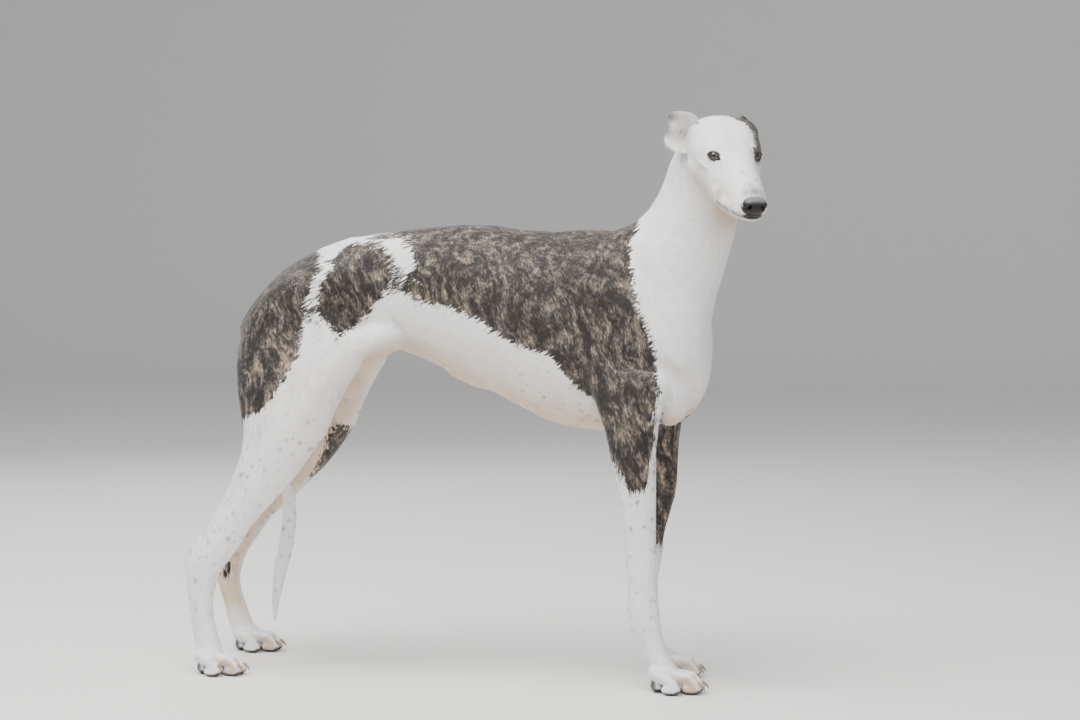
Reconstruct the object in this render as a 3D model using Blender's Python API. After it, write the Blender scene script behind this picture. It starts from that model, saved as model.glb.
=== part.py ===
"""A standing greyhound at life size, as a still museum model.

Metres, +Z up. The dog faces +X, its left side is +Y, and its pads rest on Z = 0.
The flesh is lofted and fused as one skin, pressed with a few strokes, and then
parted with thin flat cuts into the pieces a person would name.
"""

import math

import bmesh
import bpy
import numpy as np
from mathutils import Matrix, Vector

MM = 0.001
GAP = 0.3 * MM
FUSE_VOXEL = 2.4 * MM
HEAD_TRIANGLES = 2480
CUT_MARGIN = 6.0 * MM
RING_SIDES = 28

# The tables hold slices of the dog in its own frame: X forward from the withers,
# Z up from the ground, Y to its left. This centres the finished box on the origin.
CENTRE = Vector((0.2097, 0.0279, 0.0))

# Trunk slices: x, top, bottom, half width, height of the widest place.
TRUNK = (
    (0.174, 0.566, 0.500, 0.024, 0.534),
    (0.163, 0.628, 0.455, 0.050, 0.543),
    (0.132, 0.676, 0.421, 0.070, 0.555),
    (0.070, 0.706, 0.406, 0.083, 0.566),
    (0.000, 0.720, 0.399, 0.091, 0.574),
    (-0.070, 0.716, 0.407, 0.099, 0.575),
    (-0.130, 0.719, 0.433, 0.103, 0.583),
    (-0.190, 0.728, 0.464, 0.099, 0.596),
    (-0.250, 0.728, 0.490, 0.088, 0.610),
    (-0.310, 0.723, 0.515, 0.076, 0.624),
    (-0.370, 0.715, 0.530, 0.071, 0.632),
    (-0.430, 0.703, 0.535, 0.074, 0.625),
    (-0.490, 0.678, 0.528, 0.078, 0.606),
    (-0.540, 0.645, 0.522, 0.070, 0.588),
    (-0.580, 0.602, 0.522, 0.052, 0.562),
    (-0.602, 0.574, 0.532, 0.026, 0.552),
)

# Neck slices: nape x and z, throat x and z, sideways place, half width.
NECK = (
    (-0.010, 0.690, 0.130, 0.530, 0.000, 0.060),
    (0.018, 0.716, 0.169, 0.562, 0.000, 0.066),
    (0.046, 0.728, 0.182, 0.608, 0.000, 0.062),
    (0.071, 0.747, 0.193, 0.648, 0.000, 0.056),
    (0.088, 0.772, 0.206, 0.690, -0.001, 0.052),
    (0.100, 0.798, 0.216, 0.728, -0.005, 0.049),
    (0.110, 0.824, 0.222, 0.764, -0.012, 0.047),
    (0.126, 0.850, 0.220, 0.804, -0.022, 0.044),
    (0.142, 0.872, 0.212, 0.842, -0.030, 0.036),
)

# Leg slices: height, back x, front x, distance from the middle plane, half width.
FORELEG = (
    (0.500, -0.012, 0.118, 0.070, 0.022),
    (0.470, -0.004, 0.118, 0.077, 0.027),
    (0.430, 0.012, 0.110, 0.083, 0.030),
    (0.395, 0.024, 0.105, 0.086, 0.0285),
    (0.365, 0.030, 0.104, 0.087, 0.0262),
    (0.337, 0.038, 0.104, 0.088, 0.0238),
    (0.291, 0.047, 0.104, 0.088, 0.0202),
    (0.236, 0.0535, 0.104, 0.088, 0.0174),
    (0.174, 0.0575, 0.106, 0.088, 0.0160),
    (0.144, 0.0590, 0.108, 0.088, 0.0168),
    (0.119, 0.0610, 0.111, 0.088, 0.0180),
    (0.098, 0.0690, 0.113, 0.088, 0.0170),
    (0.080, 0.0800, 0.117, 0.088, 0.0158),
    (0.062, 0.0860, 0.123, 0.088, 0.0168),
    (0.044, 0.0920, 0.132, 0.088, 0.0190),
    (0.030, 0.0980, 0.138, 0.088, 0.0190),
)
HINDLEG = (
    (0.650, -0.515, -0.450, 0.044, 0.018),
    (0.610, -0.546, -0.425, 0.050, 0.032),
    (0.560, -0.580, -0.396, 0.057, 0.041),
    (0.515, -0.591, -0.376, 0.065, 0.045),
    (0.470, -0.589, -0.400, 0.073, 0.044),
    (0.430, -0.582, -0.419, 0.080, 0.041),
    (0.392, -0.574, -0.434, 0.086, 0.036),
    (0.360, -0.577, -0.456, 0.090, 0.031),
    (0.330, -0.587, -0.477, 0.093, 0.027),
    (0.300, -0.600, -0.502, 0.095, 0.0235),
    (0.270, -0.616, -0.530, 0.097, 0.0205),
    (0.240, -0.635, -0.557, 0.098, 0.0180),
    (0.212, -0.656, -0.574, 0.099, 0.0172),
    (0.190, -0.672, -0.590, 0.099, 0.0175),
    (0.170, -0.671, -0.606, 0.099, 0.0170),
    (0.145, -0.668, -0.617, 0.099, 0.0158),
    (0.115, -0.665, -0.623, 0.099, 0.0150),
    (0.085, -0.661, -0.621, 0.099, 0.0150),
    (0.055, -0.656, -0.613, 0.099, 0.0165),
    (0.036, -0.650, -0.606, 0.099, 0.0175),
)

# How far the left legs stand from the right ones' mirror image: height, x, y.
LEFT_FORE_SHIFT = (
    (0.00, -0.032, -0.043),
    (0.05, -0.035, -0.042),
    (0.09, -0.032, -0.036),
    (0.144, -0.029, -0.028),
    (0.20, -0.019, -0.021),
    (0.32, 0.003, -0.006),
    (0.42, 0.006, 0.0),
)
LEFT_HIND_SHIFT = (
    (0.00, -0.022, 0.028),
    (0.06, -0.028, 0.028),
    (0.14, -0.038, 0.026),
    (0.21, -0.038, 0.018),
    (0.28, -0.020, 0.010),
    (0.36, -0.008, 0.002),
    (0.50, 0.0, 0.0),
)

# Tail slices along its own curve: x, z, half thickness.
TAIL = (
    (-0.566, 0.560, 0.0150),
    (-0.590, 0.548, 0.0170),
    (-0.599, 0.520, 0.0165),
    (-0.594, 0.480, 0.0150),
    (-0.578, 0.430, 0.0138),
    (-0.560, 0.380, 0.0132),
    (-0.541, 0.330, 0.0126),
    (-0.528, 0.290, 0.0124),
    (-0.526, 0.240, 0.0130),
    (-0.532, 0.200, 0.0134),
    (-0.543, 0.158, 0.0126),
    (-0.551, 0.112, 0.0084),
    (-0.553, 0.072, 0.0034),
)

# The head has a frame of its own: origin midway between the eyes, X along the muzzle.
HEAD_PLACE = Vector((0.228, -0.114, 0.832))
HEAD_YAW = math.radians(-62.5)
HEAD_PITCH = math.radians(23.0)
# Head slices: x, top, bottom, half width, height of the widest place, roundness.
HEAD = (
    (-0.112, 0.008, -0.030, 0.022, -0.008, 0.80),
    (-0.100, 0.024, -0.055, 0.042, -0.006, 0.80),
    (-0.080, 0.0345, -0.071, 0.0525, 0.000, 0.76),
    (-0.055, 0.0365, -0.079, 0.0560, -0.002, 0.74),
    (-0.030, 0.0330, -0.0820, 0.0545, -0.010, 0.76),
    (-0.010, 0.0265, -0.0825, 0.0490, -0.020, 0.80),
    (0.008, 0.0185, -0.0820, 0.0435, -0.030, 0.86),
    (0.025, 0.0120, -0.0800, 0.0400, -0.040, 0.92),
    (0.045, 0.0065, -0.0765, 0.0370, -0.047, 0.98),
    (0.070, 0.0000, -0.0720, 0.0335, -0.049, 1.02),
    (0.092, -0.0065, -0.0675, 0.0290, -0.047, 1.02),
    (0.109, -0.0130, -0.0630, 0.0240, -0.044, 0.96),
    (0.120, -0.0210, -0.0570, 0.0170, -0.041, 0.90),
)
EYE_RADIUS = 11.0 * MM
EYE_PLACE = Vector((0.0010, 0.0303, -0.0012))
EYE_AXIS = Vector((0.864, 0.421, 0.277)).normalized()
EYE_SLANT = math.radians(8.0)
LID_THICKNESS = 2.2 * MM
# The lids' edge: along the opening from the inner corner outwards, upper lid, lower lid.
LID_EDGE = (
    (-0.0120, -0.0016, -0.0024),
    (-0.0088, 0.0018, -0.0038),
    (-0.0042, 0.0053, -0.0050),
    (0.0010, 0.0066, -0.0053),
    (0.0058, 0.0056, -0.0044),
    (0.0096, 0.0031, -0.0024),
    (0.0118, 0.0004, -0.0004),
)
NOSE_WIDTH = 19.0 * MM
NOSE_HEIGHT = 14.0 * MM
NOSE_PLACE = Vector((0.1190, 0.0, -0.0325))

# Ear strips from its front edge up and over, back and down to its lobe, in the head's
# frame: root x, distance out and z, rim x, distance out and z, and how far it cups.
EAR = (
    (-0.052, 0.040, 0.020, -0.058, 0.049, 0.040, 0.001),
    (-0.056, 0.041, 0.022, -0.066, 0.056, 0.043, 0.003),
    (-0.060, 0.042, 0.018, -0.084, 0.068, 0.0385, 0.007),
    (-0.064, 0.043, 0.012, -0.103, 0.0765, 0.0290, 0.011),
    (-0.068, 0.044, 0.004, -0.1065, 0.0770, 0.0150, 0.013),
    (-0.070, 0.044, -0.004, -0.103, 0.0755, 0.0020, 0.014),
    (-0.070, 0.044, -0.010, -0.1065, 0.0790, -0.0110, 0.013),
    (-0.068, 0.044, -0.016, -0.100, 0.0775, -0.0210, 0.010),
    (-0.064, 0.043, -0.020, -0.086, 0.0670, -0.0265, 0.006),
    (-0.060, 0.042, -0.020, -0.076, 0.0560, -0.0270, 0.003),
)
EAR_THICKNESS = 2.8 * MM
# How the left ear differs: it is folded back flat beside the skull.
LEFT_EAR_FOLD = 0.42

# Strokes pressed into the fused skin: where it is, reach, height, then its points
# on the right side with Y as the distance from the middle plane.
STROKES = (
    ("head", 0.0020, -0.0024, ((0.121, 0.008, -0.0510), (0.106, 0.0250, -0.0520), (0.085, 0.0315, -0.0550),
                               (0.064, 0.0350, -0.0590), (0.044, 0.0380, -0.0615))),
    ("head", 0.0090, -0.0030, ((0.026, 0.0290, -0.0110), (0.038, 0.0300, -0.0180))),
    ("fore", 0.0060, -0.0022, ((0.070, 0.106, 0.300), (0.072, 0.104, 0.200), (0.075, 0.104, 0.150))),
    ("fore", 0.0060, -0.0022, ((0.070, 0.070, 0.300), (0.072, 0.072, 0.200), (0.075, 0.072, 0.150))),
    ("hind", 0.0090, -0.0045, ((-0.575, 0.115, 0.310), (-0.605, 0.113, 0.265), (-0.630, 0.113, 0.225))),
    ("hind", 0.0090, -0.0045, ((-0.575, 0.078, 0.310), (-0.605, 0.082, 0.265), (-0.630, 0.084, 0.225))),
    ("hind", 0.0160, -0.0040, ((-0.505, 0.112, 0.600), (-0.500, 0.122, 0.520), (-0.490, 0.124, 0.440))),
    ("body", 0.0120, -0.0030, ((-0.050, 0.030, 0.722), (-0.200, 0.012, 0.733), (-0.400, 0.010, 0.715))),
)

# One paw, heel at its origin: X to the toes, the pads' soles on Z = 0.
TOE_SPREAD = (-0.0235, -0.0085, 0.0085, 0.0235)
TOE_REACH = (0.053, 0.080, 0.081, 0.057)
TOE_RADIUS = 9.2 * MM
CLAW_LENGTH = 15.0 * MM
CLAW_RADIUS = 3.4 * MM
CLAW_RINGS = 4
CLAW_SIDES = 6
PAWS = {
    "fore_right": (Vector((0.092, -0.088, 0.0)), math.radians(-5.0), 1.06),
    "fore_left": (Vector((0.064, 0.045, 0.0)), math.radians(2.0), 1.06),
    "hind_right": (Vector((-0.653, -0.099, 0.0)), math.radians(-7.0), 1.03),
    "hind_left": (Vector((-0.672, 0.126, 0.0)), math.radians(-1.0), 1.03),
}


def smooth_value(table, place, column):
    """Read a table's column at a height, easing from one row to the next."""
    for low, high in zip(table, table[1:]):
        if place <= high[0]:
            share = (place - low[0]) / (high[0] - low[0])
            share = max(0.0, share)
            share = share * share * (3.0 - 2.0 * share)
            return low[column] + (high[column] - low[column]) * share
    return table[-1][column]


def spline_rows(rows, count):
    """Thicken a table of slices with Catmull-Rom rows between its own."""
    result = []
    last = len(rows) - 1
    for index in range(last):
        before = rows[max(index - 1, 0)]
        start = rows[index]
        end = rows[index + 1]
        after = rows[min(index + 2, last)]
        for step in range(count):
            t = step / count
            row = []
            for a, b, c, d in zip(before, start, end, after):
                value = 2 * b + (c - a) * t + (2 * a - 5 * b + 4 * c - d) * t * t
                value += (3 * b - a - 3 * c + d) * t * t * t
                row.append(value / 2)
            result.append(tuple(row))
    result.append(tuple(rows[-1]))
    return result


def loft(bm, rings):
    """Extrude one ring of points through the next ones and close both ends."""
    made = bmesh.ops.create_circle(bm, segments=len(rings[0]), radius=1.0, cap_ends=False)
    ring = made["verts"]
    for vert, point in zip(ring, rings[0]):
        vert.co = point
    for points in rings[1:]:
        edges = [bm.edges.get((a, b)) for a, b in zip(ring, ring[1:] + ring[:1])]
        order = {tuple(vert.co): index for index, vert in enumerate(ring)}
        grown = bmesh.ops.extrude_edge_only(bm, edges=edges)["geom"]
        ring = [item for item in grown if isinstance(item, bmesh.types.BMVert)]
        ring.sort(key=lambda vert: order[tuple(vert.co)])
        for vert, point in zip(ring, points):
            vert.co = point
    rims = [edge for edge in bm.edges if edge.is_boundary]
    bmesh.ops.holes_fill(bm, edges=rims, sides=0)


def egg(top, bottom, side, half_width, middle, square=1.0, sides=RING_SIDES):
    """A ring between two points of the middle plane, widest at a share of the way."""
    points = []
    axis = bottom - top
    for index in range(sides):
        angle = 2.0 * math.pi * index / sides
        along = math.cos(angle)
        across = math.copysign(abs(math.sin(angle)) ** square, math.sin(angle)) * half_width
        share = middle - along * (middle if along > 0 else 1.0 - middle)
        point = top + axis * share
        points.append(Vector((point.x, side + across, point.z)))
    return points


def ball(bm, place, radii, turn=None, sides=24):
    """An ellipsoid."""
    matrix = Matrix.Translation(place)
    if turn is not None:
        matrix = matrix @ turn.to_4x4()
    matrix = matrix @ Matrix.Diagonal((*radii, 1.0))
    bmesh.ops.create_uvsphere(bm, u_segments=sides, v_segments=sides // 2 + 1, radius=1.0, matrix=matrix)


def muscle(bm, start, end, radii):
    """An ellipsoid whose long axis runs past both points."""
    start = Vector(start)
    end = Vector(end)
    along = end - start
    turn = along.to_track_quat("X", "Z").to_matrix()
    length = along.length / 2.0 + min(radii)
    ball(bm, (start + end) / 2.0, (length, radii[0], radii[1]), turn)


def limb(bm, start, end, start_radius, end_radius, sides=14):
    """A round tapered bar with domed ends, for toes."""
    start = Vector(start)
    end = Vector(end)
    along = (end - start).normalized()
    frame = along.to_track_quat("Z", "X").to_matrix()
    rings = []
    stations = []
    for angle in (80, 50, 20):
        turn = math.radians(angle)
        stations.append((start - along * start_radius * math.sin(turn), start_radius * math.cos(turn)))
    for angle in (20, 50, 80):
        turn = math.radians(angle)
        stations.append((end + along * end_radius * math.sin(turn), end_radius * math.cos(turn)))
    for place, radius in stations:
        ring = []
        for index in range(sides):
            angle = 2.0 * math.pi * index / sides
            ring.append(place + frame @ Vector((math.cos(angle), math.sin(angle), 0.0)) * radius)
        rings.append(ring)
    loft(bm, rings)


def head_matrix():
    turn = Matrix.Rotation(HEAD_YAW, 4, "Z") @ Matrix.Rotation(HEAD_PITCH, 4, "Y")
    return Matrix.Translation(HEAD_PLACE) @ turn


def carry(bm, matrix, older):
    """Move the vertices that are not among the older ones by a matrix."""
    newer = [vert for vert in bm.verts if vert not in older]
    bmesh.ops.transform(bm, matrix=matrix, verts=newer)


def leg_rings(table, side, shift):
    rows = spline_rows(table, 3)
    rings = []
    for height, back, front, offset, half_width in rows:
        move_x = smooth_value(shift, height, 1) if shift else 0.0
        move_y = smooth_value(shift, height, 2) if shift else 0.0
        top = Vector((back + move_x, 0.0, height))
        bottom = Vector((front + move_x, 0.0, height))
        rings.append(egg(top, bottom, side * (offset + move_y), half_width, 0.55))
    return rings


def add_trunk(bm):
    rings = []
    for x, top, bottom, half_width, middle in spline_rows(TRUNK, 3):
        share = (top - middle) / (top - bottom)
        rings.append(egg(Vector((x, 0, top)), Vector((x, 0, bottom)), 0.0, half_width, share))
    loft(bm, rings)
    for side in (-1, 1):
        muscle(bm, (0.020, side * 0.030, 0.670), (0.128, side * 0.052, 0.520), (0.046, 0.034))
        muscle(bm, (-0.010, side * 0.040, 0.600), (0.045, side * 0.072, 0.430), (0.046, 0.034))
        muscle(bm, (0.105, side * 0.034, 0.500), (0.112, side * 0.030, 0.445), (0.040, 0.036))
        muscle(bm, (-0.200, side * 0.030, 0.682), (-0.430, side * 0.034, 0.662), (0.036, 0.032))
        muscle(bm, (-0.430, side * 0.046, 0.640), (-0.545, side * 0.052, 0.560), (0.046, 0.050))
        muscle(bm, (-0.320, side * 0.030, 0.560), (-0.430, side * 0.056, 0.520), (0.040, 0.028))
    muscle(bm, (-0.255, 0.0, 0.492), (-0.175, 0.0, 0.462), (0.011, 0.010))


def add_neck(bm):
    rings = []
    for nape_x, nape_z, throat_x, throat_z, side, half_width in spline_rows(NECK, 3):
        rings.append(egg(Vector((nape_x, 0, nape_z)), Vector((throat_x, 0, throat_z)), side, half_width, 0.45))
    loft(bm, rings)


def add_head(bm):
    older = set(bm.verts)
    rings = []
    for x, top, bottom, half_width, middle, roundness in spline_rows(HEAD, 3):
        share = (top - middle) / (top - bottom)
        rings.append(egg(Vector((x, 0, top)), Vector((x, 0, bottom)), 0.0, half_width, share, roundness))
    loft(bm, rings)
    lid = EYE_RADIUS + LID_THICKNESS
    for side in (-1, 1):
        muscle(bm, (-0.060, side * 0.038, -0.030), (-0.028, side * 0.038, -0.034), (0.018, 0.027))
        muscle(bm, (-0.040, side * 0.047, -0.016), (0.004, side * 0.040, -0.018), (0.0085, 0.0085))
        ball(bm, (-0.010, side * 0.0300, 0.0060), (0.018, 0.0120, 0.0125))
        ball(bm, (EYE_PLACE.x, side * EYE_PLACE.y, EYE_PLACE.z), (lid, lid, lid))
        ball(bm, (-0.062, side * 0.0330, 0.0080), (0.028, 0.0235, 0.0255))
    carry(bm, head_matrix(), older)


def add_tail(bm):
    rows = spline_rows(TAIL, 1)
    rings = []
    for index, (x, z, radius) in enumerate(rows):
        before = rows[max(index - 1, 0)]
        after = rows[min(index + 1, len(rows) - 1)]
        across = Vector((after[1] - before[1], 0.0, before[0] - after[0])).normalized() * radius
        place = Vector((x, 0.0, z))
        rings.append(egg(place - across, place + across, 0.0, radius * 0.92, 0.5, sides=12))
    loft(bm, rings)


def paw_matrix(name):
    place, yaw, size = PAWS[name]
    return Matrix.Translation(place) @ Matrix.Rotation(yaw, 4, "Z") @ Matrix.Scale(size, 4)


def toe_joints(spread, reach):
    """Where one toe leaves the palm, its knuckle, its last joint and its tip."""
    root = Vector((min(0.016, reach - 0.040), spread * 0.60, 0.0310))
    knuckle = Vector((reach - 0.0175, spread * 0.97, 0.0235))
    last = Vector((reach - 0.0085, spread * 1.04, 0.0150))
    tip = Vector((reach - 0.0035, spread * 1.06, 0.0100))
    return root, knuckle, last, tip


def add_paw(bm, name):
    """Palm, four arched toes with the webs between them, and their pads."""
    older = set(bm.verts)
    ball(bm, (0.022, 0.0, 0.0285), (0.024, 0.0215, 0.0175))
    ball(bm, (0.0170, 0.0, 0.0098), (0.0145, 0.0165, 0.0115))
    ball(bm, (0.046, 0.0, 0.0205), (0.026, 0.0165, 0.0100))
    ball(bm, (0.030, 0.0, 0.0190), (0.022, 0.0245, 0.0095))
    for spread, reach in zip(TOE_SPREAD, TOE_REACH):
        root, knuckle, last, tip = toe_joints(spread, reach)
        limb(bm, root, knuckle, TOE_RADIUS * 1.05, TOE_RADIUS)
        limb(bm, knuckle, last, TOE_RADIUS * 1.02, TOE_RADIUS * 0.92)
        limb(bm, last, tip, TOE_RADIUS * 0.94, TOE_RADIUS * 0.82)
        ball(bm, (reach - 0.0125, spread * 1.05, 0.0077), (0.0150, 0.0086, 0.0092))
    carry(bm, paw_matrix(name), older)


def add_wrist_pad(bm, side, shift):
    """The stopper pad behind the wrist and the dewclaw's toe inside it."""
    place = Vector((0.0705, side * 0.088, 0.106)) + shift_at(shift, 0.106)
    ball(bm, place, (0.0115, 0.0085, 0.0170))
    inside = Vector((0.0880, side * 0.0740, 0.076)) + shift_at(shift, 0.076)
    muscle(bm, inside, inside + Vector((0.008, -side * 0.001, -0.014)), (0.0052, 0.0052))


def ear_rings(side, fold=0.0, count=5):
    """Rings round each strip of the ear, from its root in the skull to its rim."""
    rings = []
    for root_x, root_out, root_z, rim_x, rim_out, rim_z, cup in spline_rows(EAR, 2):
        rim_out -= fold * (rim_out - root_out)
        rim_z -= fold * 0.010
        root = Vector((root_x, side * root_out, root_z))
        rim = Vector((rim_x, side * rim_out, rim_z))
        face = Vector((0.74, side * 0.67, 0.0)).normalized()
        back = []
        front = []
        for index in range(count):
            t = index / (count - 1)
            place = root.lerp(rim, t) - face * cup * 4.0 * t * (1.0 - t) * 0.8
            thick = EAR_THICKNESS * (1.25 - 0.85 * t * t)
            back.append(place - face * thick / 2.0)
            front.append(place + face * thick / 2.0)
        rings.append(back + front[::-1])
    return rings


def mesh_object(name, bm):
    bmesh.ops.recalc_face_normals(bm, faces=bm.faces)
    mesh = bpy.data.meshes.new(name)
    bm.to_mesh(mesh)
    bm.free()
    made = bpy.data.objects.new(name, mesh)
    bpy.context.collection.objects.link(made)
    return made


def apply_modifiers(made):
    """Bake an object's modifiers into its mesh."""
    graph = bpy.context.evaluated_depsgraph_get()
    baked = bpy.data.meshes.new_from_object(made.evaluated_get(graph))
    made.modifiers.clear()
    made.data = baked


def keep_largest(made):
    """Drop every closed surface but the largest."""
    bm = bmesh.new()
    bm.from_mesh(made.data)
    groups = islands(bm)
    groups.sort(key=len)
    for group in groups[:-1]:
        bmesh.ops.delete(bm, geom=group, context="VERTS")
    bm.to_mesh(made.data)
    bm.free()


def islands(bm):
    """The vertices of each connected surface."""
    groups = []
    seen = set()
    for seed in bm.verts:
        if seed in seen:
            continue
        seen.add(seed)
        group = [seed]
        for vert in group:
            for edge in vert.link_edges:
                other = edge.other_vert(vert)
                if other not in seen:
                    seen.add(other)
                    group.append(other)
        groups.append(group)
    return groups


def combine(made, other, operation, keep_other=False):
    """One Boolean, applied."""
    step = made.modifiers.new(operation, "BOOLEAN")
    step.operation = operation
    step.object = other
    step.solver = "EXACT"
    apply_modifiers(made)
    if not keep_other:
        bpy.data.objects.remove(other)
    keep_largest(made)


def grown_copy(made, distance):
    """A copy of a solid whose surface stands a little further out."""
    bm = bmesh.new()
    bm.from_mesh(made.data)
    bm.normal_update()
    for vert in bm.verts:
        vert.co += vert.normal * distance * 1.15
    return mesh_object("grown", bm)


def shift_at(shift, height):
    if not shift:
        return Vector((0.0, 0.0, 0.0))
    return Vector((smooth_value(shift, height, 1), smooth_value(shift, height, 2), 0.0))


def stroke_paths():
    """Every stroke on both sides, as body points with a reach and a height."""
    paths = []
    for place, reach, height, points in STROKES:
        for side in (-1, 1):
            path = []
            for x, y, z in points:
                if place == "head":
                    path.append(head_matrix() @ Vector((x, side * y, z)))
                    continue
                shift = None
                if side > 0 and place == "fore":
                    shift = LEFT_FORE_SHIFT
                if side > 0 and place == "hind":
                    shift = LEFT_HIND_SHIFT
                path.append(Vector((x, side * y, z)) + shift_at(shift, z))
            paths.append((path, reach, height))
    return paths


def press(made):
    """Raise or sink the skin along the strokes, fading with distance."""
    mesh = made.data
    count = len(mesh.vertices)
    places = np.empty(count * 3, dtype=np.float32)
    mesh.vertices.foreach_get("co", places)
    places = places.reshape(count, 3)
    normals = np.empty(count * 3, dtype=np.float32)
    mesh.vertex_normals.foreach_get("vector", normals)
    normals = normals.reshape(count, 3)
    lift = np.zeros(count, dtype=np.float32)
    for path, reach, height in stroke_paths():
        nearest = np.full(count, np.inf, dtype=np.float32)
        for start, end in zip(path, path[1:]):
            start = np.array(start, dtype=np.float32)
            along = np.array(end, dtype=np.float32) - start
            share = (places - start) @ along / float(along @ along)
            share = np.clip(share, 0.0, 1.0)[:, None]
            gap = places - start - share * along
            nearest = np.minimum(nearest, np.einsum("ij,ij->i", gap, gap))
        lift += height * np.exp(-nearest / (reach * reach))
    places += normals * lift[:, None]
    mesh.vertices.foreach_set("co", places.ravel())
    mesh.update()


def fine_share(place):
    """How little smoothing the skin takes: 1 at the face and the paws, 0 on the trunk."""
    if (place - HEAD_PLACE).length < 0.125:
        return 1.0
    if place.z < 0.060:
        return 0.9
    if place.z < 0.30:
        return 0.35
    return 0.0


def fused_flesh():
    """All forms as one smooth skin."""
    bm = bmesh.new()
    add_trunk(bm)
    add_neck(bm)
    add_head(bm)
    for side, fore_shift, hind_shift in ((-1, None, None), (1, LEFT_FORE_SHIFT, LEFT_HIND_SHIFT)):
        loft(bm, leg_rings(FORELEG, side, fore_shift))
        loft(bm, leg_rings(HINDLEG, side, hind_shift))
        add_wrist_pad(bm, side, fore_shift)
    for name in PAWS:
        add_paw(bm, name)
    flesh = mesh_object("flesh", bm)
    fuse = flesh.modifiers.new("fuse", "REMESH")
    fuse.mode = "VOXEL"
    fuse.voxel_size = FUSE_VOXEL
    apply_modifiers(flesh)
    keep_largest(flesh)
    calm = flesh.vertex_groups.new(name="calm")
    for vert in flesh.data.vertices:
        share = fine_share(vert.co)
        calm.add([vert.index], 1.0 - 0.80 * share, "REPLACE")
    ease = flesh.modifiers.new("ease", "SMOOTH")
    ease.factor = 0.5
    ease.iterations = 24
    ease.vertex_group = "calm"
    apply_modifiers(flesh)
    press(flesh)
    return flesh


def slab(made, name, place, normal):
    """Cut a solid with a plane: what lies beyond the plane becomes a new object."""
    normal = Vector(normal).normalized()
    place = Vector(place)
    halves = []
    for sign in (1.0, -1.0):
        bm = bmesh.new()
        bm.from_mesh(made.data)
        geometry = bm.verts[:] + bm.edges[:] + bm.faces[:]
        co = place + normal * sign * GAP / 2.0
        bmesh.ops.bisect_plane(bm, geom=geometry, dist=1e-6, plane_co=co, plane_no=normal * sign, clear_inner=True)
        rim = [edge for edge in bm.edges if edge.is_boundary]
        bmesh.ops.holes_fill(bm, edges=rim, sides=0)
        bmesh.ops.triangulate(bm, faces=[face for face in bm.faces if len(face.verts) > 4])
        halves.append(bm)
    beyond = mesh_object(name, halves[0])
    halves[1].to_mesh(made.data)
    halves[1].free()
    return beyond


def cut_planes():
    """The flat cuts: a point of each and the way its front side looks."""
    matrix = head_matrix()
    turn = matrix.to_3x3()
    planes = {
        "poll": (matrix @ Vector((-0.040, 0.0, -0.082)), turn @ Vector((0.78, 0.0, 0.62))),
        "shoulders": (Vector((0.100, 0.0, 0.655)), Vector((0.687, 0.0, 0.727))),
        "girth": (Vector((-0.200, 0.0, 0.0)), Vector((1.0, 0.0, 0.0))),
        "flank": (Vector((-0.352, 0.0, 0.0)), Vector((1.0, 0.0, 0.0))),
        "elbow": (Vector((0.0, 0.0, 0.392)), Vector((0.0, 0.0, 1.0))),
        "groin": (Vector((0.0, 0.0, 0.514)), Vector((0.0, 0.0, 1.0))),
        "wrist": (Vector((0.0, 0.0, 0.104)), Vector((0.0, 0.0, 1.0))),
        "toes": (Vector((0.0, 0.0, 0.050)), Vector((0.0, 0.0, 1.0))),
        "floor": (Vector((0.0, 0.0, -GAP / 2.0)), Vector((0.0, 0.0, 1.0))),
    }
    for name, shift in (("right", None), ("left", LEFT_HIND_SHIFT)):
        stifle = Vector((-0.505, 0.0, 0.362))
        hock = Vector((-0.625, 0.0, 0.200))
        planes["stifle_" + name] = (stifle + shift_at(shift, stifle.z), Vector((0.667, 0.0, 0.745)))
        planes["hock_" + name] = (hock + shift_at(shift, hock.z), Vector((0.30, 0.0, 0.95)))
    for side, name in ((-1, "right"), (1, "left")):
        planes["side_" + name] = (Vector((0.0, 0.0, 0.0)), Vector((0.0, side, 0.0)))
    return {name: (place, normal.normalized()) for name, (place, normal) in planes.items()}


def node_table():
    """Each flesh node: the planes it lies in front of (+) or behind (-), and its triangles."""
    table = {
        "head": ("+poll", HEAD_TRIANGLES),
        "neck": ("-poll +shoulders", 700),
        "chest": ("-shoulders +elbow +girth", 1150),
        "abdomen": ("-girth +flank +elbow", 480),
        "croup": ("-flank +groin", 700),
    }
    for side in ("right", "left"):
        half = " +side_" + side
        stifle = "stifle_" + side
        hock = "hock_" + side
        table["forearm_" + side] = ("-elbow +girth +wrist" + half, 340)
        table["fore_pastern_" + side] = ("+girth -wrist +toes" + half, 190)
        table["fore_paw_" + side] = ("+girth -toes +floor" + half, 500)
        table["thigh_" + side] = ("-flank -groin +" + stifle + half, 430)
        table["gaskin_" + side] = ("-flank -" + stifle + " +" + hock + half, 330)
        table["hind_pastern_" + side] = ("-flank -" + hock + " +toes" + half, 230)
        table["hind_paw_" + side] = ("-flank -toes +floor" + half, 500)
    return table


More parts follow.
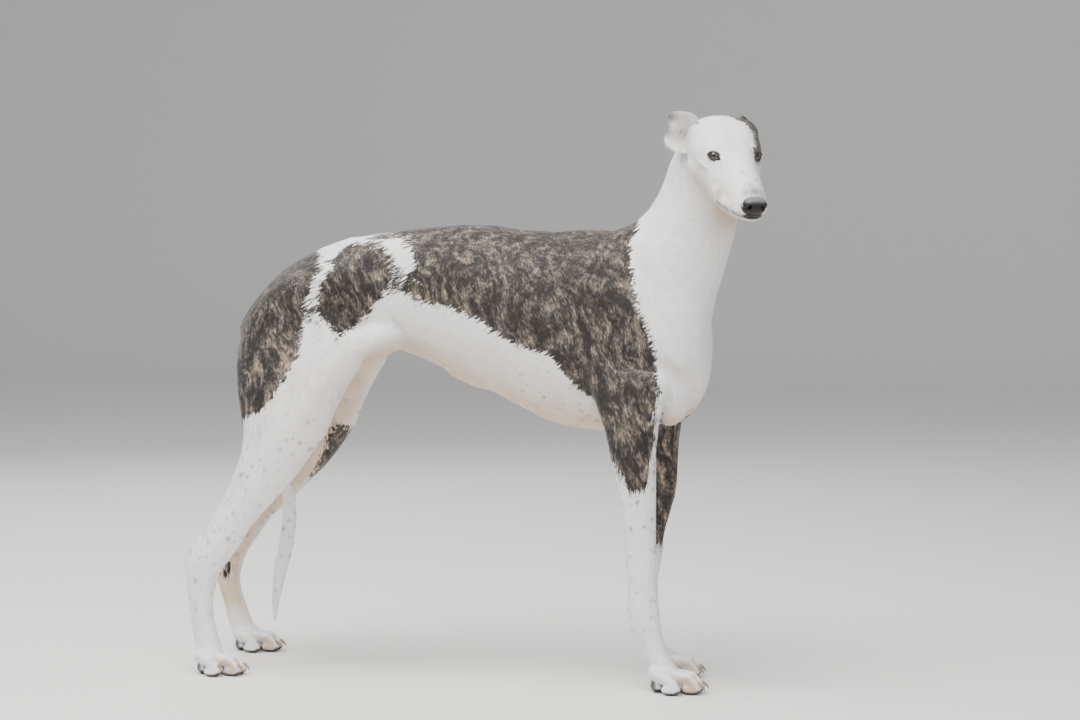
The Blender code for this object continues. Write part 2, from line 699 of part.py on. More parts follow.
def part_flesh(flesh):
    """Part the fused dog into its named nodes, each thinned and then cut flat."""
    planes = cut_planes()
    places = np.empty(len(flesh.data.vertices) * 3, dtype=np.float32)
    flesh.data.vertices.foreach_get("co", places)
    places = places.reshape(-1, 3)
    heights = {}
    for name, (place, normal) in planes.items():
        heights[name] = (places - np.array(place, dtype=np.float32)) @ np.array(normal, dtype=np.float32)
    nodes = {}
    for name, (sides, triangles) in node_table().items():
        keep = np.ones(len(places), dtype=bool)
        cuts = []
        for word in sides.split():
            sign = 1.0 if word[0] == "+" else -1.0
            keep &= heights[word[1:]] * sign > -CUT_MARGIN
            cuts.append((planes[word[1:]][0], planes[word[1:]][1] * sign))
        nodes[name] = cut_node(flesh, name, keep, cuts, triangles)
    bpy.data.objects.remove(flesh)
    return nodes


def cut_node(flesh, name, keep, cuts, triangles):
    """Lift one region off the dense skin, thin it, and close it with flat caps."""
    bm = bmesh.new()
    bm.from_mesh(flesh.data)
    bm.verts.ensure_lookup_table()
    away = [bm.verts[index] for index in np.flatnonzero(~keep)]
    bmesh.ops.delete(bm, geom=away, context="VERTS")
    node = mesh_object(name, bm)
    keep_largest(node)
    thin = node.modifiers.new("thin", "DECIMATE")
    thin.ratio = triangles / (2.0 * len(node.data.polygons))
    apply_modifiers(node)
    bm = bmesh.new()
    bm.from_mesh(node.data)
    for place, normal in cuts:
        geometry = bm.verts[:] + bm.edges[:] + bm.faces[:]
        co = place + normal * GAP / 2.0
        bmesh.ops.bisect_plane(bm, geom=geometry, dist=1e-6, plane_co=co, plane_no=normal, clear_inner=True)
        rim = [edge for edge in bm.edges if edge.is_boundary and flat_on(edge, co, normal)]
        bmesh.ops.holes_fill(bm, edges=rim, sides=0)
    bmesh.ops.triangulate(bm, faces=bm.faces)
    bm.to_mesh(node.data)
    bm.free()
    keep_largest(node)
    return node


def flat_on(edge, place, normal):
    """True for an edge that lies in a plane."""
    return all(abs((vert.co - place).dot(normal)) < 1e-5 for vert in edge.verts)


def add_claws(paw, name):
    """Four curved claws, fused into their paw with sunk roots."""
    bm = bmesh.new()
    for spread, reach in zip(TOE_SPREAD, TOE_REACH):
        rings = []
        for step in range(CLAW_RINGS):
            t = step / (CLAW_RINGS - 1)
            bend = math.radians(-4.0 - 42.0 * t)
            x = reach - 0.0035 + CLAW_LENGTH * math.sin(1.15 * t) / 1.15
            z = 0.0165 - CLAW_LENGTH * 0.62 * t * t
            radius = CLAW_RADIUS * (1.0 - 0.80 * t ** 1.3)
            ring = []
            for index in range(CLAW_SIDES):
                angle = 2.0 * math.pi * index / CLAW_SIDES
                ring.append(Vector((
                    x + math.sin(bend) * -math.sin(angle) * radius,
                    spread * 1.06 + math.cos(angle) * radius * 0.75,
                    z + math.cos(bend) * math.sin(angle) * radius,
                )))
            rings.append(ring)
        loft(bm, rings)
    bmesh.ops.transform(bm, matrix=paw_matrix(name), verts=bm.verts)
    combine(paw, mesh_object("claws", bm), "UNION")


def make_eye(side):
    bm = bmesh.new()
    place = Vector((EYE_PLACE.x, side * EYE_PLACE.y, EYE_PLACE.z))
    bmesh.ops.create_icosphere(bm, subdivisions=3, radius=EYE_RADIUS, matrix=head_matrix() @ Matrix.Translation(place))
    return mesh_object("eye_right" if side < 0 else "eye_left", bm)


def eye_frame(side):
    """The way the eye opening faces, the way to its outer corner, and its up."""
    out = Vector((EYE_AXIS.x, side * EYE_AXIS.y, EYE_AXIS.z))
    across = Vector((-EYE_AXIS.y, side * EYE_AXIS.x, 0.0)).normalized()
    rise = across.cross(out).normalized()
    if rise.z < 0.0:
        rise = -rise
    slanted = across * math.cos(EYE_SLANT) + rise * math.sin(EYE_SLANT)
    return out, slanted, rise * math.cos(EYE_SLANT) - across * math.sin(EYE_SLANT)


def make_eye_opening(side):
    """The almond between the lids, as a prism to cut with."""
    out, across, rise = eye_frame(side)
    centre = Vector((EYE_PLACE.x, side * EYE_PLACE.y, EYE_PLACE.z))
    upper = [centre + across * along + rise * high for along, high, low in LID_EDGE]
    lower = [centre + across * along + rise * low for along, high, low in LID_EDGE]
    edge = upper + lower[::-1]
    bm = bmesh.new()
    loft(bm, [[point + out * depth for point in edge] for depth in (0.002, 0.012, 0.030)])
    bmesh.ops.transform(bm, matrix=head_matrix(), verts=bm.verts)
    return mesh_object("eye_opening", bm)


def make_ear(side, fold):
    bm = bmesh.new()
    loft(bm, ear_rings(side, fold))
    bmesh.ops.transform(bm, matrix=head_matrix(), verts=bm.verts)
    return mesh_object("ear_right" if side < 0 else "ear_left", bm)


def make_nose():
    """The leather of the nose, with its two nostrils."""
    bm = bmesh.new()
    ball(bm, NOSE_PLACE, (0.0135, NOSE_WIDTH, NOSE_HEIGHT), sides=16)
    bmesh.ops.transform(bm, matrix=head_matrix(), verts=bm.verts)
    nose = mesh_object("nose", bm)
    for side in (-1, 1):
        bm = bmesh.new()
        ball(bm, NOSE_PLACE + Vector((0.0115, side * 0.0085, -0.0005)), (0.0060, 0.0036, 0.0040), sides=8)
        bmesh.ops.transform(bm, matrix=head_matrix(), verts=bm.verts)
        combine(nose, mesh_object("nostril", bm), "DIFFERENCE")
    return nose


def make_tail():
    bm = bmesh.new()
    add_tail(bm)
    return mesh_object("tail_root", bm)


def colour_material(name, colour, roughness):
    material = bpy.data.materials.new(name)
    material.use_nodes = True
    shader = material.node_tree.nodes["Principled BSDF"]
    shader.inputs["Base Color"].default_value = (*colour, 1.0)
    shader.inputs["Roughness"].default_value = roughness
    material.diffuse_color = (*colour, 1.0)
    return material


def main():
    for old in list(bpy.data.objects):
        bpy.data.objects.remove(old)
    flesh = fused_flesh()
    nodes = part_flesh(flesh)
    head = nodes["head"]
    nose = make_nose()
    eyes = [make_eye(-1), make_eye(1)]
    ears = [make_ear(-1, 0.0), make_ear(1, LEFT_EAR_FOLD)]
    for ear in ears:
        combine(ear, grown_copy(head, GAP), "DIFFERENCE")
        combine(ear, grown_copy(nodes["neck"], GAP), "DIFFERENCE")
        nodes[ear.name] = ear
    for side, eye in zip((-1, 1), eyes):
        combine(head, make_eye_opening(side), "DIFFERENCE")
        combine(head, grown_copy(eye, GAP), "DIFFERENCE")
    combine(head, grown_copy(nose, GAP), "DIFFERENCE")
    nodes["nose"] = nose
    for eye in eyes:
        nodes[eye.name] = eye
    tail = make_tail()
    combine(tail, grown_copy(nodes["croup"], GAP), "DIFFERENCE")
    tip = slab(tail, "tail_tip", (0.0, 0.0, 0.225), (0, 0, -1))
    middle = slab(tail, "tail_middle", (0.0, 0.0, 0.410), (0, 0, -1))
    nodes["tail_root"] = tail
    nodes["tail_middle"] = middle
    nodes["tail_tip"] = tip
    for name in PAWS:
        limb_name, side = name.split("_")
        paw = nodes[limb_name + "_paw_" + side]
        add_claws(paw, name)
    coats = {
        "white_coat": colour_material("white_coat", (0.86, 0.84, 0.80), 0.75),
        "brindle_coat": colour_material("brindle_coat", (0.12, 0.10, 0.08), 0.70),
        "nose_leather": colour_material("nose_leather", (0.02, 0.02, 0.02), 0.45),
        "eye_gloss": colour_material("eye_gloss", (0.05, 0.03, 0.02), 0.05),
    }
    finish = {"nose": "nose_leather", "eye_right": "eye_gloss", "eye_left": "eye_gloss", "ear_left": "brindle_coat"}
    for name, made in nodes.items():
        bm = bmesh.new()
        bm.from_mesh(made.data)
        bmesh.ops.translate(bm, vec=CENTRE, verts=bm.verts)
        bmesh.ops.triangulate(bm, faces=bm.faces)
        bm.to_mesh(made.data)
        bm.free()
        made.data.name = name
        made.data.materials.clear()
        made.data.materials.append(coats[finish.get(name, "white_coat")])
        made.data.shade_smooth()
    counts = {name: len(made.data.polygons) for name, made in nodes.items()}
    print("triangles", sum(counts.values()), counts)


main()
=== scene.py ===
# %% [markdown]
# # A standing greyhound, life size
#
# The solids come first. They are the dog in plain faceted pieces, and everything
# made below is fitted to them in the same metres: X towards the chest, Y to the
# dog's own left, Z up, and the floor at zero.

# %% Load the solids
import math

import bmesh
import bpy
import numpy as np
from mathutils import Matrix, Vector


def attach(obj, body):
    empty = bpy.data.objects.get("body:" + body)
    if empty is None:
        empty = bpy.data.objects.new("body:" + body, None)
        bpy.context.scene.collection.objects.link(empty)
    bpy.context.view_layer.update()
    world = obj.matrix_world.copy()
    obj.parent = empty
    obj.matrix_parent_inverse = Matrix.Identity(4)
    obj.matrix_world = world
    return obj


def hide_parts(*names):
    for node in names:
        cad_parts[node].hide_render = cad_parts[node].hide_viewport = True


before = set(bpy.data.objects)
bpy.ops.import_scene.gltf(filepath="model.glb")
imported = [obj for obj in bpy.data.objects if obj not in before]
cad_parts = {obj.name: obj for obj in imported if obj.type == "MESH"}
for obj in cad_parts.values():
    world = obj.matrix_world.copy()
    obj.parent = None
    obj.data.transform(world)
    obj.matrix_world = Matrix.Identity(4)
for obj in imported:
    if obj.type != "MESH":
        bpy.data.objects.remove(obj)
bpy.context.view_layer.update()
print("solids:", len(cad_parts), "pieces")

# %% [markdown]
# ## Camera
#
# The picture was taken with a short telephoto lens from about four metres, a little
# ahead of the dog's right side and level with its back. A real camera there gives
# the same perspective: the far legs a little smaller and higher in the picture.

# %% Camera
CENTRE = Vector((0.2097, 0.0279, 0.0))
CAMERA_PLACE = Vector((0.8482, -3.9614, 0.740)) + CENTRE
CAMERA_TURN = math.radians(13.5)
CAMERA_DIP = math.radians(3.232)

lens = bpy.data.cameras.new("camera")
lens.lens = 85.0
lens.sensor_width = 36.0
camera = bpy.data.objects.new("camera", lens)
camera.location = CAMERA_PLACE
camera.rotation_euler = (math.radians(90.0) - CAMERA_DIP, 0.0, CAMERA_TURN)
bpy.context.collection.objects.link(camera)
bpy.context.scene.camera = camera
print("camera at", tuple(round(v, 2) for v in camera.location))

# %% [markdown]
# ## Floor and light
#
# A museum model stands on a plain pale floor under soft light. The floor runs far
# back and curves up, so that no horizon shows. A large soft panel above and before
# the dog gives the bright overcast light of the picture. A weak one lights the face,
# another lights the back, and the world fills the shadows.

# %% Floor
FLOOR_HALF_WIDTH = 18.0
FLOOR_BACK = 7.0
FLOOR_FRONT = -14.0
SWEEP_RADIUS = 2.5
SWEEP_HEIGHT = 6.0
SWEEP_STEPS = 24


def make_floor():
    """A strip of paper: flat in front, swept up behind."""
    bm = bmesh.new()
    start = bm.verts.new((-FLOOR_HALF_WIDTH, FLOOR_FRONT, 0.0))
    end = bm.verts.new((-FLOOR_HALF_WIDTH, FLOOR_BACK, 0.0))
    bm.edges.new((start, end))
    bmesh.ops.spin(
        bm, geom=[end], cent=(0.0, FLOOR_BACK, SWEEP_RADIUS), axis=(1.0, 0.0, 0.0),
        angle=math.radians(90.0), steps=SWEEP_STEPS, use_merge=False,
    )
    top = max(bm.verts, key=lambda vert: vert.co.z)
    grown = bmesh.ops.extrude_vert_indiv(bm, verts=[top])["verts"]
    bmesh.ops.translate(bm, vec=(0.0, 0.0, SWEEP_HEIGHT), verts=grown)
    profile = bm.edges[:]
    wide = bmesh.ops.extrude_edge_only(bm, edges=profile)["geom"]
    moved = [item for item in wide if isinstance(item, bmesh.types.BMVert)]
    bmesh.ops.translate(bm, vec=(2.0 * FLOOR_HALF_WIDTH, 0.0, 0.0), verts=moved)
    bmesh.ops.recalc_face_normals(bm, faces=bm.faces)
    return bm


def object_from(bm, name):
    """Turn a bmesh into a smooth-shaded object at the origin."""
    mesh = bpy.data.meshes.new(name)
    bm.to_mesh(mesh)
    bm.free()
    mesh.shade_smooth()
    made = bpy.data.objects.new(name, mesh)
    bpy.context.collection.objects.link(made)
    return made


def plain_material(name, colour, roughness):
    """A Principled material with one colour, to build on."""
    material = bpy.data.materials.new(name)
    material.use_nodes = True
    shader = material.node_tree.nodes["Principled BSDF"]
    shader.inputs["Base Color"].default_value = (*colour, 1.0)
    shader.inputs["Roughness"].default_value = roughness
    return material


floor = object_from(make_floor(), "floor")
floor.data.materials.append(plain_material("pale_floor", (0.80, 0.785, 0.76), 0.85))
print("floor:", len(floor.data.polygons), "faces")

# %% Lights
# Panels: name, place, what it is aimed at, size in metres, watts, colour.
PANELS = (
    ("sky_panel", (-0.6, -1.2, 3.4), (0.0, 0.0, 0.45), 3.0, 275.0, (1.0, 0.99, 0.97)),
    ("face_panel", (2.2, -3.0, 1.7), (0.1, 0.0, 0.5), 1.8, 34.0, (1.0, 1.0, 1.0)),
    ("back_panel", (-1.5, 2.6, 2.2), (0.0, 0.0, 0.5), 2.0, 36.0, (0.96, 0.98, 1.0)),
)
ROOM_COLOUR = (0.93, 0.95, 1.0, 1.0)
ROOM_STRENGTH = 0.48


def soft_panel(name, place, target, size, watts, colour):
    """A square area light aimed at a point."""
    light = bpy.data.lights.new(name, "AREA")
    light.shape = "SQUARE"
    light.size = size
    light.energy = watts
    light.color = colour
    made = bpy.data.objects.new(name, light)
    made.location = place
    made.rotation_euler = (Vector(target) - Vector(place)).to_track_quat("-Z", "Y").to_euler()
    bpy.context.collection.objects.link(made)


for panel in PANELS:
    soft_panel(*panel)
world = bpy.data.worlds.new("room")
world.use_nodes = True
room = world.node_tree.nodes["Background"]
room.inputs["Color"].default_value = ROOM_COLOUR
room.inputs["Strength"].default_value = ROOM_STRENGTH
bpy.context.scene.world = world

# %% [markdown]
# ## The dog as slices
#
# A greyhound's body is easiest to describe as a fish is: by slices. Each row of a
# table is one slice, with its top, its bottom, its half width and the height where
# it is widest. The withers stand 0.72 m high, and every other size was scaled from
# the picture by that. The tables are the same ones that the solids were made from.

# %% Body slices
RING_SIDES = 40
# Trunk slices: x, top, bottom, half width, height of the widest place.
TRUNK = (
    (0.174, 0.566, 0.500, 0.024, 0.534),
    (0.163, 0.628, 0.455, 0.050, 0.543),
    (0.132, 0.676, 0.421, 0.070, 0.555),
    (0.070, 0.706, 0.406, 0.083, 0.566),
    (0.000, 0.720, 0.399, 0.091, 0.574),
    (-0.070, 0.716, 0.407, 0.099, 0.575),
    (-0.130, 0.719, 0.433, 0.103, 0.583),
    (-0.190, 0.728, 0.464, 0.099, 0.596),
    (-0.250, 0.728, 0.490, 0.088, 0.610),
    (-0.310, 0.723, 0.515, 0.076, 0.624),
    (-0.370, 0.715, 0.530, 0.071, 0.632),
    (-0.430, 0.703, 0.535, 0.074, 0.625),
    (-0.490, 0.678, 0.528, 0.078, 0.606),
    (-0.540, 0.645, 0.522, 0.070, 0.588),
    (-0.580, 0.602, 0.522, 0.052, 0.562),
    (-0.602, 0.574, 0.532, 0.026, 0.552),
)

# Neck slices: nape x and z, throat x and z, sideways place, half width.
NECK = (
    (-0.010, 0.690, 0.130, 0.530, 0.000, 0.060),
    (0.018, 0.716, 0.169, 0.562, 0.000, 0.066),
    (0.046, 0.728, 0.182, 0.608, 0.000, 0.062),
    (0.071, 0.747, 0.193, 0.648, 0.000, 0.056),
    (0.088, 0.772, 0.206, 0.690, -0.001, 0.052),
    (0.100, 0.798, 0.216, 0.728, -0.005, 0.049),
    (0.110, 0.824, 0.222, 0.764, -0.012, 0.047),
    (0.126, 0.850, 0.220, 0.804, -0.022, 0.044),
    (0.142, 0.872, 0.212, 0.842, -0.030, 0.036),
)

print("trunk", len(TRUNK), "slices, neck", len(NECK))

# %% [markdown]
# The legs are sliced level by level. The left legs start as the right ones' mirror
# image and are then moved, because the dog doesn't stand square: the far hind foot
# is set back and out, and the far forefoot a little back and in.

# %% Leg and tail slices
# Leg slices: height, back x, front x, distance from the middle plane, half width.
FORELEG = (
    (0.500, -0.012, 0.118, 0.070, 0.022),
    (0.470, -0.004, 0.118, 0.077, 0.027),
    (0.430, 0.012, 0.110, 0.083, 0.030),
    (0.395, 0.024, 0.105, 0.086, 0.0285),
    (0.365, 0.030, 0.104, 0.087, 0.0262),
    (0.337, 0.038, 0.104, 0.088, 0.0238),
    (0.291, 0.047, 0.104, 0.088, 0.0202),
    (0.236, 0.0535, 0.104, 0.088, 0.0174),
    (0.174, 0.0575, 0.106, 0.088, 0.0160),
    (0.144, 0.0590, 0.108, 0.088, 0.0168),
    (0.119, 0.0610, 0.111, 0.088, 0.0180),
    (0.098, 0.0690, 0.113, 0.088, 0.0170),
    (0.080, 0.0800, 0.117, 0.088, 0.0158),
    (0.062, 0.0860, 0.123, 0.088, 0.0168),
    (0.044, 0.0920, 0.132, 0.088, 0.0190),
    (0.030, 0.0980, 0.138, 0.088, 0.0190),
)
HINDLEG = (
    (0.650, -0.515, -0.450, 0.044, 0.018),
    (0.610, -0.546, -0.425, 0.050, 0.032),
    (0.560, -0.580, -0.396, 0.057, 0.041),
    (0.515, -0.591, -0.376, 0.065, 0.045),
    (0.470, -0.589, -0.400, 0.073, 0.044),
    (0.430, -0.582, -0.419, 0.080, 0.041),
    (0.392, -0.574, -0.434, 0.086, 0.036),
    (0.360, -0.577, -0.456, 0.090, 0.031),
    (0.330, -0.587, -0.477, 0.093, 0.027),
    (0.300, -0.600, -0.502, 0.095, 0.0235),
    (0.270, -0.616, -0.530, 0.097, 0.0205),
    (0.240, -0.635, -0.557, 0.098, 0.0180),
    (0.212, -0.656, -0.574, 0.099, 0.0172),
    (0.190, -0.672, -0.590, 0.099, 0.0175),
    (0.170, -0.671, -0.606, 0.099, 0.0170),
    (0.145, -0.668, -0.617, 0.099, 0.0158),
    (0.115, -0.665, -0.623, 0.099, 0.0150),
    (0.085, -0.661, -0.621, 0.099, 0.0150),
    (0.055, -0.656, -0.613, 0.099, 0.0165),
    (0.036, -0.650, -0.606, 0.099, 0.0175),
)

# How far the left legs stand from the right ones' mirror image: height, x, y.
LEFT_FORE_SHIFT = (
    (0.00, -0.032, -0.043),
    (0.05, -0.035, -0.042),
    (0.09, -0.032, -0.036),
    (0.144, -0.029, -0.028),
    (0.20, -0.019, -0.021),
    (0.32, 0.003, -0.006),
    (0.42, 0.006, 0.0),
)
LEFT_HIND_SHIFT = (
    (0.00, -0.022, 0.028),
    (0.06, -0.028, 0.028),
    (0.14, -0.038, 0.026),
    (0.21, -0.038, 0.018),
    (0.28, -0.020, 0.010),
    (0.36, -0.008, 0.002),
    (0.50, 0.0, 0.0),
)

# Tail slices along its own curve: x, z, half thickness.
TAIL = (
    (-0.566, 0.560, 0.0150),
    (-0.590, 0.548, 0.0170),
    (-0.599, 0.520, 0.0165),
    (-0.594, 0.480, 0.0150),
    (-0.578, 0.430, 0.0138),
    (-0.560, 0.380, 0.0132),
    (-0.541, 0.330, 0.0126),
    (-0.528, 0.290, 0.0124),
    (-0.526, 0.240, 0.0130),
    (-0.532, 0.200, 0.0134),
    (-0.543, 0.158, 0.0126),
    (-0.551, 0.112, 0.0084),
    (-0.553, 0.072, 0.0034),
)

print("leg slices", len(FORELEG), "and", len(HINDLEG), "tail", len(TAIL))

# %% [markdown]
# The head is turned to the dog's right and tipped down, so it gets a frame of its
# own: its origin lies midway between the eyes and its X runs along the muzzle.

# %% Head slices
HEAD_PLACE = Vector((0.228, -0.114, 0.832))
HEAD_YAW = math.radians(-62.5)
HEAD_PITCH = math.radians(23.0)
# Head slices: x, top, bottom, half width, height of the widest place, roundness.
HEAD = (
    (-0.112, 0.008, -0.030, 0.022, -0.008, 0.80),
    (-0.100, 0.024, -0.055, 0.042, -0.006, 0.80),
    (-0.080, 0.0345, -0.071, 0.0525, 0.000, 0.76),
    (-0.055, 0.0365, -0.079, 0.0560, -0.002, 0.74),
    (-0.030, 0.0330, -0.0820, 0.0545, -0.010, 0.76),
    (-0.010, 0.0265, -0.0825, 0.0490, -0.020, 0.80),
    (0.008, 0.0185, -0.0820, 0.0435, -0.030, 0.86),
    (0.025, 0.0120, -0.0800, 0.0400, -0.040, 0.92),
    (0.045, 0.0065, -0.0765, 0.0370, -0.047, 0.98),
    (0.070, 0.0000, -0.0720, 0.0335, -0.049, 1.02),
    (0.092, -0.0065, -0.0675, 0.0290, -0.047, 1.02),
    (0.109, -0.0130, -0.0630, 0.0240, -0.044, 0.96),
    (0.120, -0.0210, -0.0570, 0.0170, -0.041, 0.90),
)

print("head", len(HEAD), "slices, turned", round(math.degrees(HEAD_YAW), 1), "degrees")

# %% [markdown]
# ## Lofts
#
# A loft starts as one ring of vertices and is extruded ring by ring. Between the
# table's rows, extra rows are added on a Catmull-Rom curve, so that nothing has a
# corner where a slice happens to be.

# %% Slice helpers
def smooth_value(table, place, column):
    """Read a table's column at a height, easing from one row to the next."""
    for low, high in zip(table, table[1:]):
        if place <= high[0]:
            share = max(0.0, (place - low[0]) / (high[0] - low[0]))
            share = share * share * (3.0 - 2.0 * share)
            return low[column] + (high[column] - low[column]) * share
    return table[-1][column]


def spline_rows(rows, count):
    """Thicken a table of slices with Catmull-Rom rows between its own."""
    result = []
    last = len(rows) - 1
    for index in range(last):
        before = rows[max(index - 1, 0)]
        start = rows[index]
        end = rows[index + 1]
        after = rows[min(index + 2, last)]
        for step in range(count):
            t = step / count
            row = []
            for a, b, c, d in zip(before, start, end, after):
                value = 2 * b + (c - a) * t + (2 * a - 5 * b + 4 * c - d) * t * t
                value += (3 * b - a - 3 * c + d) * t * t * t
                row.append(value / 2)
            result.append(tuple(row))
    result.append(tuple(rows[-1]))
    return result


def loft(bm, rings):
    """Extrude one ring of points through the next ones and close both ends."""
    made = bmesh.ops.create_circle(bm, segments=len(rings[0]), radius=1.0, cap_ends=False)
    ring = made["verts"]
    for vert, point in zip(ring, rings[0]):
        vert.co = point
    for points in rings[1:]:
        edges = [bm.edges.get((a, b)) for a, b in zip(ring, ring[1:] + ring[:1])]
        order = {tuple(vert.co): index for index, vert in enumerate(ring)}
        grown = bmesh.ops.extrude_edge_only(bm, edges=edges)["geom"]
        ring = [item for item in grown if isinstance(item, bmesh.types.BMVert)]
        ring.sort(key=lambda vert: order[tuple(vert.co)])
        for vert, point in zip(ring, points):
            vert.co = point
    rims = [edge for edge in bm.edges if edge.is_boundary]
    bmesh.ops.holes_fill(bm, edges=rims, sides=0)


def ring_angles(sides):
    return [2.0 * math.pi * index / sides for index in range(sides)]


def on_side(point, side):
    """A point of the dog's left, taken to one side: -1 is right and 1 is left."""
    return Vector((point[0], side * point[1], point[2]))


def egg(top, bottom, side, half_width, middle, square=1.0, sides=RING_SIDES):
    """A ring between two points of the middle plane, widest at a share of the way."""
    points = []
    axis = bottom - top
    for angle in ring_angles(sides):
        along = math.cos(angle)
        across = math.copysign(abs(math.sin(angle)) ** square, math.sin(angle)) * half_width
        share = middle - along * (middle if along > 0 else 1.0 - middle)
        point = top + axis * share
        points.append(Vector((point.x, side + across, point.z)))
    return points


def upright_rings(table):
    """Rings from rows of x, top, bottom, half width, widest height and any roundness."""
    rings = []
    for x, top, bottom, half_width, middle, *square in spline_rows(table, 3):
        share = (top - middle) / (top - bottom)
        ends = Vector((x, 0, top)), Vector((x, 0, bottom))
        rings.append(egg(*ends, 0.0, half_width, share, *square))
    return rings


print("loft helpers ready,", RING_SIDES, "sides a ring")

# %% [markdown]
# Muscles, cheeks and pads are ellipsoids that sink into the lofts. A voxel remesh
# later melts them all together, as clay pellets melt under a thumb.

# %% Muscle helpers
LIMB_SIDES = 14


def ball(bm, place, radii, turn=None, sides=24):
    """An ellipsoid."""
    matrix = Matrix.Translation(place)
    if turn is not None:
        matrix = matrix @ turn.to_4x4()
    matrix = matrix @ Matrix.Diagonal((*radii, 1.0))
    bmesh.ops.create_uvsphere(
        bm, u_segments=sides, v_segments=sides // 2 + 1, radius=1.0, matrix=matrix
    )


def muscle(bm, start, end, radii):
    """An ellipsoid whose long axis runs past both points."""
    along = end - start
    turn = along.to_track_quat("X", "Z").to_matrix()
    length = along.length / 2.0 + min(radii)
    ball(bm, (start + end) / 2.0, (length, radii[0], radii[1]), turn)


def limb(bm, start, end, start_radius, end_radius):
    """A round tapered bar with domed ends, for toes."""
    along = (end - start).normalized()
    upright = along.to_track_quat("Z", "X").to_matrix()
    circle = [Vector((math.cos(a), math.sin(a), 0.0)) for a in ring_angles(LIMB_SIDES)]
    rings = []
    for degrees in (-80, -50, -20, 20, 50, 80):
        turn = math.radians(degrees)
        place, radius = (start, start_radius) if degrees < 0 else (end, end_radius)
        middle = place + along * radius * math.sin(turn)
        width = radius * math.cos(turn)
        rings.append([middle + upright @ point * width for point in circle])
    loft(bm, rings)


def carry(bm, matrix, older):
    """Move the vertices that are not among the older ones by a matrix."""
    newer = [vert for vert in bm.verts if vert not in older]
    bmesh.ops.transform(bm, matrix=matrix, verts=newer)


def add_muscles(bm, table):
    """The muscles of a table, on both sides: each with its start, end and two radii."""
    for side in (-1, 1):
        for start, end, radii in table:
            muscle(bm, on_side(start, side), on_side(end, side), radii)


def head_matrix():
    """From the head's frame to the dog's."""
    turn = Matrix.Rotation(HEAD_YAW, 4, "Z") @ Matrix.Rotation(HEAD_PITCH, 4, "Y")
    return Matrix.Translation(HEAD_PLACE) @ turn


print("muscle helpers ready")

# %% [markdown]
# ## Trunk and neck
#
# The deep chest, the tucked-up loin and the arched croup come from the slices. The
# shoulder blade, upper arm, breast, long back muscles and haunches are laid on top.

# %% Trunk and neck
# Shoulder blade, upper arm, breast, long back muscle, rump and flank.
TRUNK_MUSCLES = (
    ((0.020, 0.030, 0.670), (0.128, 0.052, 0.520), (0.046, 0.034)),
    ((-0.010, 0.040, 0.600), (0.045, 0.072, 0.430), (0.046, 0.034)),
    ((0.105, 0.034, 0.500), (0.112, 0.030, 0.445), (0.040, 0.036)),
    ((-0.200, 0.030, 0.682), (-0.430, 0.034, 0.662), (0.036, 0.032)),
    ((-0.430, 0.046, 0.640), (-0.545, 0.052, 0.560), (0.046, 0.050)),
    ((-0.320, 0.030, 0.560), (-0.430, 0.056, 0.520), (0.040, 0.028)),
)
NECK_MIDDLE = 0.45


def add_trunk(bm):
    loft(bm, upright_rings(TRUNK))
    add_muscles(bm, TRUNK_MUSCLES)
    muscle(bm, Vector((-0.255, 0.0, 0.492)), Vector((-0.175, 0.0, 0.462)), (0.011, 0.010))


def add_neck(bm):
    rings = []
    for nape_x, nape_z, throat_x, throat_z, side, half_width in spline_rows(NECK, 3):
        ends = Vector((nape_x, 0, nape_z)), Vector((throat_x, 0, throat_z))
        rings.append(egg(*ends, side, half_width, NECK_MIDDLE))
    loft(bm, rings)


print("trunk and neck ready")

# %% [markdown]
# ## Legs and tail
#
# Every leg is one loft from the body to just above the toes. The tail hangs between
# the hind legs and curls a little at its end.

# %% Legs and tail
LEG_MIDDLE = 0.55
TAIL_SIDES = 12
TAIL_FLATNESS = 0.92


def leg_rings(table, side, shift):
    rings = []
    for height, back, front, offset, half_width in spline_rows(table, 3):
        move_x = smooth_value(shift, height, 1) if shift else 0.0
        move_y = smooth_value(shift, height, 2) if shift else 0.0
        ends = Vector((back + move_x, 0.0, height)), Vector((front + move_x, 0.0, height))
        rings.append(egg(*ends, side * (offset + move_y), half_width, LEG_MIDDLE))
    return rings


def add_tail(bm):
    rings = []
    for index, (x, z, radius) in enumerate(TAIL):
        before = TAIL[max(index - 1, 0)]
        after = TAIL[min(index + 1, len(TAIL) - 1)]
        across = Vector((after[1] - before[1], 0.0, before[0] - after[0])).normalized() * radius
        place = Vector((x, 0.0, z))
        width = radius * TAIL_FLATNESS
        rings.append(egg(place - across, place + across, 0.0, width, 0.5, sides=TAIL_SIDES))
    loft(bm, rings)


print("legs and tail ready")

# %% [markdown]
# ## Head
#
# The long wedge of the muzzle and the narrow flat skull are one loft. The cheek
# muscle, the cheek bone, the brow and the root of the ear go on top, and a ball
# stands for each pair of closed lids, which are opened later.

# %% Head
MM = 0.001
EYE_RADIUS = 11.0 * MM
EYE_PLACE = Vector((0.0010, 0.0303, -0.0012))
EYE_AXIS = Vector((0.864, 0.421, 0.277)).normalized()
EYE_SLANT = math.radians(8.0)
LID_THICKNESS = 2.2 * MM
# The lids' edge: along the opening from the inner corner outwards, upper lid, lower lid.
LID_EDGE = (
    (-0.0120, -0.0016, -0.0024),
    (-0.0088, 0.0018, -0.0038),
    (-0.0042, 0.0053, -0.0050),
    (0.0010, 0.0066, -0.0053),
    (0.0058, 0.0056, -0.0044),
    (0.0096, 0.0031, -0.0024),
    (0.0118, 0.0004, -0.0004),
)
